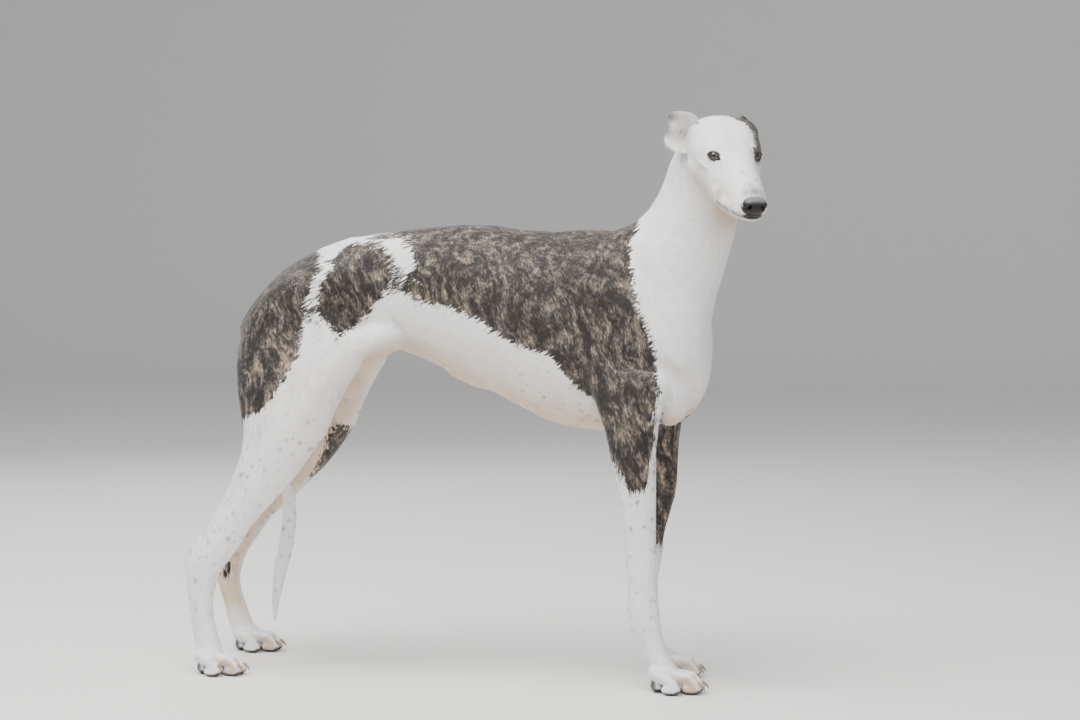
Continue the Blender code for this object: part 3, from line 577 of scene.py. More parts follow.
# Cheek muscle and cheek bone, then the balls of the brow, the lids and the ear's root.
CHEEKS = (
    ((-0.06, 0.038, -0.03), (-0.028, 0.038, -0.034), (0.018, 0.027)),
    ((-0.04, 0.047, -0.016), (0.004, 0.04, -0.018), (0.0085, 0.0085)),
)
FACE_BALLS = (
    ((-0.01, 0.03, 0.006), (0.018, 0.012, 0.0125)),
    (EYE_PLACE, (EYE_RADIUS + LID_THICKNESS,) * 3),
    ((-0.062, 0.033, 0.008), (0.028, 0.0235, 0.0255)),
)


def add_head(bm):
    older = set(bm.verts)
    loft(bm, upright_rings(HEAD))
    for side in (-1, 1):
        for start, end, radii in CHEEKS:
            muscle(bm, on_side(start, side), on_side(end, side), radii)
        for place, radii in FACE_BALLS:
            ball(bm, on_side(place, side), radii)
    carry(bm, head_matrix(), older)


print("head ready, eyeballs", round(EYE_RADIUS * 2000, 1), "mm across")

# %% [markdown]
# ## Paws
#
# A greyhound has long hare feet. Each toe rises from the palm to a high knuckle and
# then slopes down to its own pad, and the two middle toes reach well past the outer
# ones. One paw is described with its heel at the origin and set down four times.

# %% Paws
# One paw, heel at its origin: X to the toes, the pads' soles on Z = 0.
TOE_SPREAD = (-0.0235, -0.0085, 0.0085, 0.0235)
TOE_REACH = (0.053, 0.080, 0.081, 0.057)
TOE_RADIUS = 9.2 * MM
# Balls of the palm, the heel pad, the instep and the web between the toes.
PALM_BALLS = (
    ((0.022, 0.0, 0.0285), (0.024, 0.0215, 0.0175)),
    ((0.017, 0.0, 0.0098), (0.0145, 0.0165, 0.0115)),
    ((0.046, 0.0, 0.0205), (0.026, 0.0165, 0.01)),
    ((0.03, 0.0, 0.019), (0.022, 0.0245, 0.0095)),
)
TOE_PAD = (0.0150, 0.0086, 0.0092)

# Each paw: where its heel stands, how it is turned, and its size.
PAWS = {
    "fore_right": (Vector((0.092, -0.088, 0.0)), math.radians(-5.0), 1.06),
    "fore_left": (Vector((0.064, 0.045, 0.0)), math.radians(2.0), 1.06),
    "hind_right": (Vector((-0.653, -0.099, 0.0)), math.radians(-7.0), 1.03),
    "hind_left": (Vector((-0.672, 0.126, 0.0)), math.radians(-1.0), 1.03),
}


def paw_matrix(name):
    """From one paw's own frame to the dog's."""
    place, yaw, size = PAWS[name]
    return Matrix.Translation(place) @ Matrix.Rotation(yaw, 4, "Z") @ Matrix.Scale(size, 4)


def toe_joints(spread, reach):
    """Where one toe leaves the palm, its knuckle, its last joint and its tip."""
    root = Vector((min(0.016, reach - 0.040), spread * 0.60, 0.0310))
    knuckle = Vector((reach - 0.0175, spread * 0.97, 0.0235))
    last = Vector((reach - 0.0085, spread * 1.04, 0.0150))
    tip = Vector((reach - 0.0035, spread * 1.06, 0.0100))
    return root, knuckle, last, tip


def add_paw(bm, name):
    """Palm, four arched toes with the webs between them, and their pads."""
    older = set(bm.verts)
    for place, radii in PALM_BALLS:
        ball(bm, place, radii)
    for spread, reach in zip(TOE_SPREAD, TOE_REACH):
        root, knuckle, last, tip = toe_joints(spread, reach)
        limb(bm, root, knuckle, TOE_RADIUS * 1.05, TOE_RADIUS)
        limb(bm, knuckle, last, TOE_RADIUS * 1.02, TOE_RADIUS * 0.92)
        limb(bm, last, tip, TOE_RADIUS * 0.94, TOE_RADIUS * 0.82)
        ball(bm, (reach - 0.0125, spread * 1.05, 0.0077), TOE_PAD)
    carry(bm, paw_matrix(name), older)


def shift_at(shift, height):
    """How far a leg is moved at a height; the right legs have no shift."""
    if not shift:
        return Vector((0.0, 0.0, 0.0))
    return Vector((smooth_value(shift, height, 1), smooth_value(shift, height, 2), 0.0))


def add_wrist_pad(bm, side, shift):
    """The stopper pad behind the wrist and the dewclaw's toe inside it."""
    place = on_side((0.0705, 0.088, 0.106), side) + shift_at(shift, 0.106)
    ball(bm, place, (0.0115, 0.0085, 0.0170))
    inside = on_side((0.0880, 0.0740, 0.076), side) + shift_at(shift, 0.076)
    muscle(bm, inside, inside + on_side((0.008, -0.001, -0.014), side), (0.0052, 0.0052))


print("paws ready:", sorted(PAWS))

# %% [markdown]
# ## One skin
#
# All these closed forms are fused with a voxel remesh, which keeps only the outside,
# and then smoothed: strongly on the trunk, where the slices should disappear, and
# hardly at all on the face and the toes.

# %% Fuse
FUSE_VOXEL = 1.7 * MM
SMOOTH_STEPS = 20
SMOOTH_PASSES = 24
SMOOTH_VOXEL = 2.4 * MM
# A seam in front of the elbow: its place, its reach and how often it is smoothed.
SEAM = ((0.078, 0.085, 0.500), 0.062, 110)


def apply_modifiers(made):
    """Bake an object's modifiers into its mesh."""
    graph = bpy.context.evaluated_depsgraph_get()
    baked = bpy.data.meshes.new_from_object(made.evaluated_get(graph))
    made.modifiers.clear()
    made.data = baked


def read_places(mesh):
    """All vertex places as one array."""
    places = np.empty(len(mesh.vertices) * 3, dtype=np.float32)
    mesh.vertices.foreach_get("co", places)
    return places.reshape(-1, 3)


def read_normals(mesh):
    normals = np.empty(len(mesh.vertices) * 3, dtype=np.float32)
    mesh.vertex_normals.foreach_get("vector", normals)
    return normals.reshape(-1, 3)


def write_places(mesh, places):
    mesh.vertices.foreach_set("co", places.astype(np.float32).ravel())
    mesh.update()


def step_share(value, low, high):
    """0 below low, 1 above high, eased between."""
    share = np.clip((value - low) / (high - low), 0.0, 1.0)
    return share * share * (3.0 - 2.0 * share)


def gap_to(places, centre, radii=(1.0, 1.0, 1.0)):
    """The distance of every place to a centre, or its share of an ellipsoid's radii."""
    return np.linalg.norm((places - np.array(centre)) / np.array(radii), axis=1)


def calm_share(places):
    """How much smoothing each vertex takes: little at the face and the paws."""
    face = gap_to(places, HEAD_PLACE)
    height = places[:, 2]
    calm = 0.20 + 0.80 * step_share(face, 0.105, 0.150)
    calm *= 0.30 + 0.70 * step_share(height, 0.050, 0.110)
    calm *= 0.70 + 0.30 * step_share(height, 0.200, 0.350)
    return calm


def make_flesh():
    bm = bmesh.new()
    add_trunk(bm)
    add_neck(bm)
    add_head(bm)
    for side, fore_shift, hind_shift in ((-1, None, None), (1, LEFT_FORE_SHIFT, LEFT_HIND_SHIFT)):
        loft(bm, leg_rings(FORELEG, side, fore_shift))
        add_wrist_pad(bm, side, fore_shift)
        loft(bm, leg_rings(HINDLEG, side, hind_shift))
    add_tail(bm)
    for name in PAWS:
        add_paw(bm, name)
    made = object_from(bm, "skin")
    fuse = made.modifiers.new("fuse", "REMESH")
    fuse.mode = "VOXEL"
    fuse.voxel_size = FUSE_VOXEL
    apply_modifiers(made)
    return made


def group_by(made, shares, steps):
    """A vertex group from one share for each vertex, rounded to a few steps."""
    group = made.vertex_groups.new(name="shares")
    levels = np.round(shares * float(steps)).astype(int)
    for level in np.unique(levels):
        members = np.flatnonzero(levels == level).tolist()
        group.add(members, float(level) / steps, "REPLACE")


def smooth_by(made, shares, steps, passes):
    """Smooth the skin, each vertex by its own share."""
    group_by(made, shares, steps)
    ease = made.modifiers.new("ease", "SMOOTH")
    ease.factor = 0.5
    ease.iterations = passes
    ease.vertex_group = "shares"
    apply_modifiers(made)
    made.vertex_groups.clear()


def melt_seam(made, centre, reach, passes):
    """Melt a seam between two forms near one place, on both sides of the dog."""
    places = read_places(made.data)
    places[:, 1] = np.abs(places[:, 1])
    near = 1.0 - step_share(gap_to(places, centre), 0.5 * reach, reach)
    smooth_by(made, near, SMOOTH_STEPS // 2, passes)


skin = make_flesh()
print("fused:", len(skin.data.vertices), "vertices")
passes = round(SMOOTH_PASSES * (SMOOTH_VOXEL / FUSE_VOXEL) ** 2)
smooth_by(skin, calm_share(read_places(skin.data)), SMOOTH_STEPS, passes)
melt_seam(skin, *SEAM)
print("smoothed", passes, "times")

# %% [markdown]
# ## Strokes
#
# A sculptor now presses and raises the clay along lines. Each stroke is a short path
# with a reach and a height, and every vertex near it moves along its own normal.
# The lips, the hollows between muscles, the tendons and the veins are made so.

# %% Strokes
# Strokes: what they move with, reach, height and path. The first is the lips' line.
STROKES = (
    ("head", 0.002, -0.0024, (
        (0.121, 0.005, -0.053), (0.1175, 0.008, -0.053), (0.112, 0.0165, -0.0525),
        (0.102, 0.0232, -0.052), (0.085, 0.0265, -0.0525), (0.064, 0.0292, -0.0545),
        (0.047, 0.031, -0.057),
    )),
    ("head", 0.005, 0.0012, (
        (0.112, 0.022, -0.046), (0.09, 0.031, -0.0465), (0.064, 0.0355, -0.049),
    )),
    ("head", 0.009, 0.0016, ((0.09, 0.02, -0.062), (0.064, 0.024, -0.066), (0.035, 0.028, -0.07))),
    ("head", 0.009, -0.003, ((0.026, 0.029, -0.011), (0.038, 0.03, -0.018))),
    ("head", 0.008, -0.0022, ((0.035, 0.036, -0.032), (0.075, 0.033, -0.036))),
    ("head", 0.012, -0.0008, ((-0.03, 0.0, 0.036), (0.01, 0.0, 0.018))),
    ("fore", 0.007, -0.0018, ((0.07, 0.106, 0.31), (0.072, 0.104, 0.22), (0.075, 0.104, 0.16))),
    ("fore", 0.007, -0.0018, ((0.07, 0.07, 0.31), (0.072, 0.072, 0.22), (0.075, 0.072, 0.16))),
    ("hind", 0.01, -0.0045, (
        (-0.575, 0.115, 0.31), (-0.605, 0.113, 0.265), (-0.63, 0.113, 0.215),
    )),
    ("hind", 0.01, -0.0045, (
        (-0.575, 0.078, 0.31), (-0.605, 0.082, 0.265), (-0.63, 0.084, 0.215),
    )),
    ("hind", 0.018, -0.0045, ((-0.505, 0.112, 0.6), (-0.5, 0.122, 0.52), (-0.49, 0.124, 0.44))),
    ("hind", 0.016, 0.003, ((-0.46, 0.118, 0.6), (-0.45, 0.13, 0.52), (-0.455, 0.13, 0.44))),
    ("body", 0.012, -0.003, ((-0.05, 0.03, 0.722), (-0.2, 0.012, 0.733), (-0.4, 0.01, 0.715))),
    ("body", 0.01, -0.0032, ((0.009, 0.086, 0.61), (0.021, 0.088, 0.54), (0.036, 0.101, 0.468))),
    ("body", 0.014, 0.0028, ((0.036, 0.08, 0.62), (0.052, 0.085, 0.55), (0.062, 0.098, 0.48))),
    ("body", 0.011, -0.0028, ((0.068, 0.058, 0.684), (0.085, 0.076, 0.61), (0.096, 0.083, 0.54))),
    ("body", 0.0085, -0.0013, (
        (0.096, 0.053, 0.715), (0.115, 0.061, 0.653), (0.13, 0.065, 0.597), (0.148, 0.061, 0.54),
    )),
    ("body", 0.011, -0.003, (
        (-0.48, 0.099, 0.55), (-0.494, 0.111, 0.471), (-0.521, 0.119, 0.396),
    )),
    ("body", 0.012, -0.0024, (
        (-0.436, 0.082, 0.606), (-0.413, 0.089, 0.543), (-0.405, 0.092, 0.505),
    )),
    ("body", 0.015, 0.0026, ((-0.4, 0.086, 0.545), (-0.43, 0.104, 0.48), (-0.47, 0.117, 0.415))),
    ("hind", 0.007, -0.0028, (
        (-0.539, 0.116, 0.374), (-0.571, 0.113, 0.298), (-0.601, 0.115, 0.236),
    )),
    ("fore", 0.007, -0.002, ((0.037, 0.106, 0.409), (0.048, 0.106, 0.36), (0.058, 0.105, 0.31))),
    ("body", 0.0075, -0.001, (
        (-0.111, 0.099, 0.609), (-0.098, 0.099, 0.555), (-0.081, 0.09, 0.507),
    )),
    ("body", 0.0075, -0.001, (
        (-0.157, 0.097, 0.624), (-0.143, 0.101, 0.574), (-0.125, 0.095, 0.531),
    )),
    ("body", 0.0075, -0.0009, (
        (-0.204, 0.091, 0.64), (-0.193, 0.097, 0.601), (-0.177, 0.096, 0.561),
    )),
)
LEFT_SHIFTS = {"fore": LEFT_FORE_SHIFT, "hind": LEFT_HIND_SHIFT}


def set_point(kind, side, point):
    """A stroke's point on one side of the dog, moved as that leg or the head is."""
    if kind == "head":
        return head_matrix() @ on_side(point, side)
    shift = LEFT_SHIFTS.get(kind) if side > 0 else None
    return on_side(point, side) + shift_at(shift, point[2])


def path_distance(places, path):
    """The distance of every place to a path, in metres."""
    nearest = np.full(len(places), np.inf, dtype=np.float32)
    for start, end in zip(path, path[1:]):
        start = np.array(start, dtype=np.float32)
        along = np.array(end, dtype=np.float32) - start
        share = np.clip((places - start) @ along / float(along @ along), 0.0, 1.0)[:, None]
        gap = places - start - share * along
        nearest = np.minimum(nearest, np.einsum("ij,ij->i", gap, gap))
    return np.sqrt(nearest)


def lift_near(places, strokes, sides=(-1, 1)):
    """How far each place is raised by some strokes, on the sides that are asked for."""
    lift = np.zeros(len(places), dtype=np.float32)
    for kind, reach, height, points in strokes:
        for side in sides:
            path = [set_point(kind, side, point) for point in points]
            lift += height * np.exp(-((path_distance(places, path) / reach) ** 2))
    return lift


def press(made, strokes):
    """Move a surface along its normals near each stroke."""
    places = read_places(made.data)
    lift = lift_near(places, strokes)
    write_places(made.data, places + read_normals(made.data) * lift[:, None])
    return float(np.abs(lift).max())


print("deepest stroke", round(press(skin, STROKES) * 1000, 1), "mm")

# %% [markdown]
# The skin is now drawn in by the depth of the coat, so that the hairs that are added
# later end where the solids do, and the soles are cut flat on the floor.

# %% Coat depth and soles
COAT_DEPTH = 0.9 * MM
FLOOR_GAP = 1e-6


def draw_in(made, depth):
    places = read_places(made.data)
    write_places(made.data, places - read_normals(made.data) * depth)


def cut_soles(made):
    """Cut away what lies below the floor and close the pads' soles."""
    bm = bmesh.new()
    bm.from_mesh(made.data)
    bmesh.ops.bisect_plane(
        bm, geom=bm.verts[:] + bm.edges[:] + bm.faces[:], dist=FLOOR_GAP,
        plane_co=(0.0, 0.0, 0.0), plane_no=(0.0, 0.0, 1.0), clear_inner=True,
    )
    rims = [edge for edge in bm.edges if edge.is_boundary]
    bmesh.ops.holes_fill(bm, edges=rims, sides=0)
    bmesh.ops.triangulate(bm, faces=[face for face in bm.faces if len(face.verts) > 4])
    bm.to_mesh(made.data)
    bm.free()
    return len(rims)


draw_in(skin, COAT_DEPTH)
print("sole edges closed:", cut_soles(skin))

# %% [markdown]
# ## Thinning
#
# The fused skin has far more triangles than a smooth flank needs. Decimate takes
# them away where it is told to, by a vertex group: mostly on the trunk, and hardly
# any on the face and the paws.

# %% Thinning
SKIN_TRIANGLES = 190000


def thin_out(made, wanted):
    """Take triangles away, fewest from the face and the paws."""
    places = read_places(made.data)
    spare = 0.15 + 0.85 * step_share(gap_to(places, HEAD_PLACE), 0.110, 0.180)
    spare *= 0.25 + 0.75 * step_share(places[:, 2], 0.060, 0.150)
    group_by(made, spare, SMOOTH_STEPS)
    triangles = sum(len(face.vertices) - 2 for face in made.data.polygons)
    thin = made.modifiers.new("thin", "DECIMATE")
    thin.ratio = min(1.0, wanted / triangles)
    thin.vertex_group = "shares"
    thin.vertex_group_factor = 1.0
    apply_modifiers(made)
    made.vertex_groups.clear()
    return triangles


dense = thin_out(skin, SKIN_TRIANGLES)
print("skin:", dense, "triangles thinned to", len(skin.data.polygons))

# %% [markdown]
# ## Eyes
#
# A dog's lids are an almond slit in the skin, and the eyeball sits close behind it.
# The slit is cut as a tall prism with a Boolean, together with a round socket, so
# the lids keep a real thickness. The outline is a small table: how far along the
# slit, and how high the upper and the lower lid stand there.

# %% Eye openings
SOCKET_GAP = 0.3 * MM
SOCKET_SIDES = 40
SLIT_DEPTHS = (0.004, 0.012, 0.030)


def eye_frame(side):
    """The way the eye opening faces, the way to its outer corner, and its up."""
    out = on_side(EYE_AXIS, side)
    across = Vector((-EYE_AXIS.y, side * EYE_AXIS.x, 0.0)).normalized()
    rise = across.cross(out).normalized()
    if rise.z < 0.0:
        rise = -rise
    slanted = across * math.cos(EYE_SLANT) + rise * math.sin(EYE_SLANT)
    return out, slanted, rise * math.cos(EYE_SLANT) - across * math.sin(EYE_SLANT)


def lid_outline(side):
    """The slit's outline in the head's frame, at the depth of the eyeball's centre."""
    centre = on_side(EYE_PLACE, side)
    across, rise = eye_frame(side)[1:]
    rows = spline_rows(LID_EDGE, 3)
    upper = [centre + across * along + rise * high for along, high, low in rows]
    lower = [centre + across * along + rise * low for along, high, low in rows]
    return upper + lower[::-1]


def combine(made, other, operation):
    """Join another object to this one or cut it out, and then remove it."""
    cut = made.modifiers.new("cut", "BOOLEAN")
    cut.operation = operation
    cut.solver = "EXACT"
    cut.object = other
    apply_modifiers(made)
    bpy.data.objects.remove(other)


def open_eyes(made):
    """Cut both slits and sockets out of the skin in one Boolean."""
    bm = bmesh.new()
    for side in (-1, 1):
        out = eye_frame(side)[0]
        older = set(bm.verts)
        loft(bm, [[point + out * depth for point in lid_outline(side)] for depth in SLIT_DEPTHS])
        carry(bm, head_matrix(), older)
    cutter = object_from(bm, "slits")
    bm = bmesh.new()
    for side in (-1, 1):
        place = head_matrix() @ on_side(EYE_PLACE, side)
        ball(bm, place, (EYE_RADIUS + SOCKET_GAP,) * 3, sides=SOCKET_SIDES)
    combine(cutter, object_from(bm, "sockets"), "UNION")
    combine(made, cutter, "DIFFERENCE")


open_eyes(skin)
print("skin with open eyes:", len(skin.data.polygons), "faces")

# %% [markdown]
# The bare rims of the lids are black and a little swollen. Each is a thin tube that
# follows the slit over the ball of the lids, made as a closed curve with a round
# bevel and then turned into a mesh.

# %% Lid rims
RIM_RADIUS = 0.85 * MM
RIM_RISE = 0.6 * MM


def tube_from(points, radius, closed=False, tip=1.0):
    """A round tube along some points, made by a curve's bevel."""
    curve = bpy.data.curves.new("tube", "CURVE")
    curve.dimensions = "3D"
    curve.bevel_depth = 1.0
    curve.bevel_resolution = 2
    curve.use_fill_caps = True
    spline = curve.splines.new("POLY")
    spline.points.add(len(points) - 1)
    for index, point in enumerate(points):
        share = index / (len(points) - 1)
        spline.points[index].co = (*point, 1.0)
        spline.points[index].radius = radius * (1.0 + (tip - 1.0) * share)
    spline.use_cyclic_u = closed
    holder = bpy.data.objects.new("tube", curve)
    bpy.context.collection.objects.link(holder)
    graph = bpy.context.evaluated_depsgraph_get()
    mesh = bpy.data.meshes.new_from_object(holder.evaluated_get(graph))
    bpy.data.objects.remove(holder)
    bpy.data.curves.remove(curve)
    return mesh


def gathered(meshes, name):
    """Join some meshes into one object."""
    bm = bmesh.new()
    for mesh in meshes:
        bm.from_mesh(mesh)
        bpy.data.meshes.remove(mesh)
    return object_from(bm, name)


def lid_rim(side, radius):
    """The slit's outline laid on the ball of the lids."""
    out = eye_frame(side)[0]
    centre = on_side(EYE_PLACE, side)
    points = []
    for point in lid_outline(side):
        offset = (point - centre) - out * (point - centre).dot(out)
        depth = math.sqrt(max(radius ** 2 - offset.length_squared, (0.55 * radius) ** 2))
        points.append(head_matrix() @ (centre + offset * 1.01 + out * depth))
    return points


rims = [lid_rim(side, EYE_RADIUS + RIM_RISE) for side in (-1, 1)]
lids = gathered([tube_from(rim, RIM_RADIUS, closed=True) for rim in rims], "lid_rims")
print("lid rims:", len(lids.data.polygons), "faces")

# %% [markdown]
# The eyeball is a fine sphere whose cornea stands a little forward. The iris and the
# pupil are painted by the material, so every vertex keeps its place in the eye's own
# frame: across, up and towards the gaze. Both eyes look ahead along the muzzle, a
# little up and to the dog's right.

# %% Eyeballs
GAZE = Vector((0.800, -0.300, 0.520)).normalized()
CORNEA_RISE = 0.45 * MM
CORNEA_EDGE = 0.75
SIDE_NAMES = {-1: "right", 1: "left"}


def gaze_of(side):
    """The gaze in the head's frame, kept near the middle of each slit."""
    return (eye_frame(side)[0] * 0.55 + GAZE * 0.45).normalized()


def make_eyeball(side):
    bm = bmesh.new()
    bmesh.ops.create_icosphere(bm, subdivisions=5, radius=EYE_RADIUS)
    gaze = gaze_of(side)
    for vert in bm.verts:
        share = vert.co.normalized().dot(gaze)
        rise = max(0.0, (share - CORNEA_EDGE) / (1.0 - CORNEA_EDGE))
        vert.co *= 1.0 + (CORNEA_RISE / EYE_RADIUS) * rise
    across = Vector((0.0, 0.0, 1.0)).cross(gaze).normalized()
    axes = (across, gaze.cross(across), gaze)
    local = bm.verts.layers.float_vector.new("eye_place")
    for vert in bm.verts:
        vert[local] = Vector([vert.co.dot(axis) for axis in axes]) / EYE_RADIUS
    bmesh.ops.translate(bm, vec=on_side(EYE_PLACE, side), verts=bm.verts)
    bmesh.ops.transform(bm, matrix=head_matrix(), verts=bm.verts)
    return object_from(bm, "eyeball_" + SIDE_NAMES[side])


eyeballs = [make_eyeball(-1), make_eyeball(1)]
print("eyeballs:", [len(eye.data.polygons) for eye in eyeballs])

# %% [markdown]
# ## Nose
#
# The nose leather is a rounded block with two comma-shaped nostrils, each with a slit
# that runs back round the side, and a groove down the middle. It starts as a fine
# ball, made squarer, and the nostrils are pressed in along its normals like all the
# other strokes.

# %% Nose
NOSE_RADII = (12.2 * MM, 18.24 * MM, 13.3 * MM)
NOSE_PLACE = Vector((0.1190, 0.0, -0.0325))
NOSE_SQUARENESS = 2.6
# Nostril, its slit, the groove down the middle, the wing above and the fold below.
NOSE_STROKES = (
    (0.0021, -0.0058, ((0.13, 0.0098, -0.0305), (0.1285, 0.0112, -0.0335))),
    (0.0013, -0.0034, (
        (0.129, 0.0118, -0.035), (0.124, 0.0155, -0.0362), (0.117, 0.019, -0.0345),
    )),
    (0.0009, -0.0013, ((0.132, 0.0, -0.031), (0.1325, 0.0, -0.037), (0.129, 0.0, -0.046))),
    (0.004, 0.0008, ((0.129, 0.012, -0.025), (0.124, 0.0165, -0.029))),
    (0.003, -0.001, ((0.124, 0.01, -0.042), (0.127, 0.005, -0.043))),
)


def make_nose():
    bm = bmesh.new()
    bmesh.ops.create_icosphere(bm, subdivisions=6, radius=1.0)
    for vert in bm.verts:
        total = sum(abs(value) ** NOSE_SQUARENESS for value in vert.co)
        vert.co = vert.co * (0.35 + 0.65 * total ** (-1.0 / NOSE_SQUARENESS))
        vert.co.y *= 1.0 - 0.16 * max(0.0, -vert.co.z)
    bmesh.ops.scale(bm, vec=NOSE_RADII, verts=bm.verts)
    bmesh.ops.translate(bm, vec=NOSE_PLACE, verts=bm.verts)
    bmesh.ops.transform(bm, matrix=head_matrix(), verts=bm.verts)
    made = object_from(bm, "nose_leather")
    press(made, [("head", *stroke) for stroke in NOSE_STROKES])
    return made


nose = make_nose()
print("nose:", len(nose.data.polygons), "faces")

# %% [markdown]
# ## Ears
#
# A greyhound folds its thin ears back like a rose: the front edge rises, rolls over
# and hangs beside the skull. The table lists strips from the front edge over the tip
# to the lobe, each from its root on the skull to its rim, with how far it cups.
# The left ear is folded back flat along the skull, so it has a table of its own.

# %% Ear forms
# Ear strips: root x, out and z, rim x, out and z, and how far the strip cups.
RIGHT_EAR = (
    (-0.052, 0.040, 0.020, -0.058, 0.049, 0.040, 0.001),
    (-0.056, 0.041, 0.022, -0.066, 0.056, 0.043, 0.003),
    (-0.060, 0.042, 0.018, -0.084, 0.068, 0.0385, 0.007),
    (-0.064, 0.043, 0.012, -0.103, 0.0765, 0.0290, 0.011),
    (-0.068, 0.044, 0.004, -0.1065, 0.0770, 0.0150, 0.013),
    (-0.070, 0.044, -0.004, -0.103, 0.0755, 0.0020, 0.014),
    (-0.070, 0.044, -0.010, -0.1065, 0.0790, -0.0110, 0.013),
    (-0.068, 0.044, -0.016, -0.100, 0.0775, -0.0210, 0.010),
    (-0.064, 0.043, -0.020, -0.086, 0.0670, -0.0265, 0.006),
    (-0.060, 0.042, -0.020, -0.076, 0.0560, -0.0270, 0.003),
)
EAR_THICKNESS = 2.8 * MM

LEFT_EAR = (
    (-0.050, 0.036, 0.0240, -0.056, 0.0375, 0.0310, 0.001),
    (-0.056, 0.036, 0.0240, -0.068, 0.0310, 0.0320, 0.002),
    (-0.060, 0.038, 0.0200, -0.086, 0.0330, 0.0315, 0.003),
    (-0.064, 0.040, 0.0140, -0.101, 0.0410, 0.0260, 0.004),
    (-0.068, 0.042, 0.0070, -0.1065, 0.0520, 0.0170, 0.005),
    (-0.070, 0.043, -0.003, -0.103, 0.0560, 0.0020, 0.005),
    (-0.070, 0.044, -0.010, -0.1065, 0.0580, -0.0110, 0.005),
    (-0.068, 0.044, -0.016, -0.100, 0.0570, -0.0210, 0.004),
    (-0.064, 0.043, -0.020, -0.086, 0.0540, -0.0265, 0.003),
    (-0.060, 0.042, -0.020, -0.076, 0.0500, -0.0270, 0.002),
)
# The way each ear's hollow faces.
EAR_FACES = {
    -1: Vector((0.74, -0.67, 0.0)).normalized(),
    1: Vector((0.25, 0.93, 0.25)).normalized(),
}
STRIP_POINTS = 12


def ear_rings(table, side):
    """Rings round each strip of the ear, from its root in the skull to its rim."""
    rings = []
    face = EAR_FACES[side]
    for *ends, cup in spline_rows(table, 7):
        root = on_side(ends[:3], side)
        rim = on_side(ends[3:], side)
        back = []
        front = []
        for index in range(STRIP_POINTS):
            t = index / (STRIP_POINTS - 1)
            place = root.lerp(rim, t) - face * cup * 4.0 * t * (1.0 - t) * 0.8
            thick = EAR_THICKNESS * (1.25 - 0.85 * t * t)
            back.append(place - face * thick / 2.0)
            front.append(place + face * thick / 2.0)
        rings.append(back + front[::-1])
    return rings


# Folds of the right ear: their reach, how far the flap bends there, and their path.
RIGHT_FOLDS = (
    (0.0038, -0.006, ((-0.09, 0.0525, 0.016), (-0.0945, 0.0548, 0.0), (-0.095, 0.056, -0.012))),
    (0.006, 0.0045, ((-0.088, 0.064, 0.026), (-0.099, 0.065, 0.008), (-0.099, 0.066, -0.006))),
    (0.0055, 0.0035, ((-0.07, 0.048, 0.03), (-0.078, 0.05, 0.006), (-0.079, 0.05, -0.014))),
    (0.005, -0.003, ((-0.1, 0.074, 0.016), (-0.103, 0.0745, 0.006))),
    (0.006, 0.003, ((-0.096, 0.07, -0.018), (-0.084, 0.062, -0.022))),
)


def fold_flap(made, side, folds):
    """Bend the thin flap to and fro; both of its faces move the same way."""
    places = read_places(made.data)
    lift = lift_near(places, [("head", *fold) for fold in folds], sides=(side,))
    way = np.array(head_matrix().to_3x3() @ EAR_FACES[side], dtype=np.float32)
    write_places(made.data, places + way * lift[:, None])


def make_ear(table, side):
    bm = bmesh.new()
    loft(bm, ear_rings(table, side))
    bmesh.ops.transform(bm, matrix=head_matrix(), verts=bm.verts)
    bmesh.ops.subdivide_edges(bm, edges=bm.edges, cuts=1, use_grid_fill=True)
    bmesh.ops.recalc_face_normals(bm, faces=bm.faces)
    made = object_from(bm, "ear_flap_" + SIDE_NAMES[side])
    if side < 0:
        fold_flap(made, side, RIGHT_FOLDS)
    return made


ears = [make_ear(RIGHT_EAR, -1), make_ear(LEFT_EAR, 1)]
print("ears:", [len(ear.data.polygons) for ear in ears])

# %% [markdown]
# ## Claws and whiskers
#
# Each claw is a short curved horn, flattened sideways, that leaves its toe just under
# the last joint. The whiskers are fine bristles in three rows on the upper lip.

# %% Claws
CLAW_LENGTH = 15.0 * MM
CLAW_RADIUS = 3.4 * MM
CLAW_RINGS = 9
CLAW_SIDES = 14


def add_claws(bm, name):
    """Four curved claws of one paw, with their roots sunk in the toes."""
    older = set(bm.verts)
    for spread, reach in zip(TOE_SPREAD, TOE_REACH):
        rings = []
        for step in range(CLAW_RINGS):
            t = step / (CLAW_RINGS - 1)
            bend = math.radians(-4.0 - 42.0 * t)
            x = reach - 0.0035 + CLAW_LENGTH * math.sin(1.15 * t) / 1.15
            z = 0.0165 - CLAW_LENGTH * 0.62 * t * t
            radius = CLAW_RADIUS * 0.97 * (1.0 - 0.80 * t ** 1.3)
            rings.append([Vector((
                x + math.sin(bend) * -math.sin(angle) * radius,
                spread * 1.06 + math.cos(angle) * radius * 0.75,
                z + math.cos(bend) * math.sin(angle) * radius,
            )) for angle in ring_angles(CLAW_SIDES)])
        loft(bm, rings)
    carry(bm, paw_matrix(name), older)


claw_bm = bmesh.new()
for paw_name in PAWS:
    add_claws(claw_bm, paw_name)
claws = object_from(claw_bm, "claws")
print("claws:", len(claws.data.polygons), "faces")

# %% Whiskers
WHISKER_RADIUS = 0.12 * MM
WHISKER_WAY = (-0.62, 0.75, -0.18)
WHISKER_DROOP = Vector((-0.22, 0.0, -0.20))
WHISKER_STEPS = 5
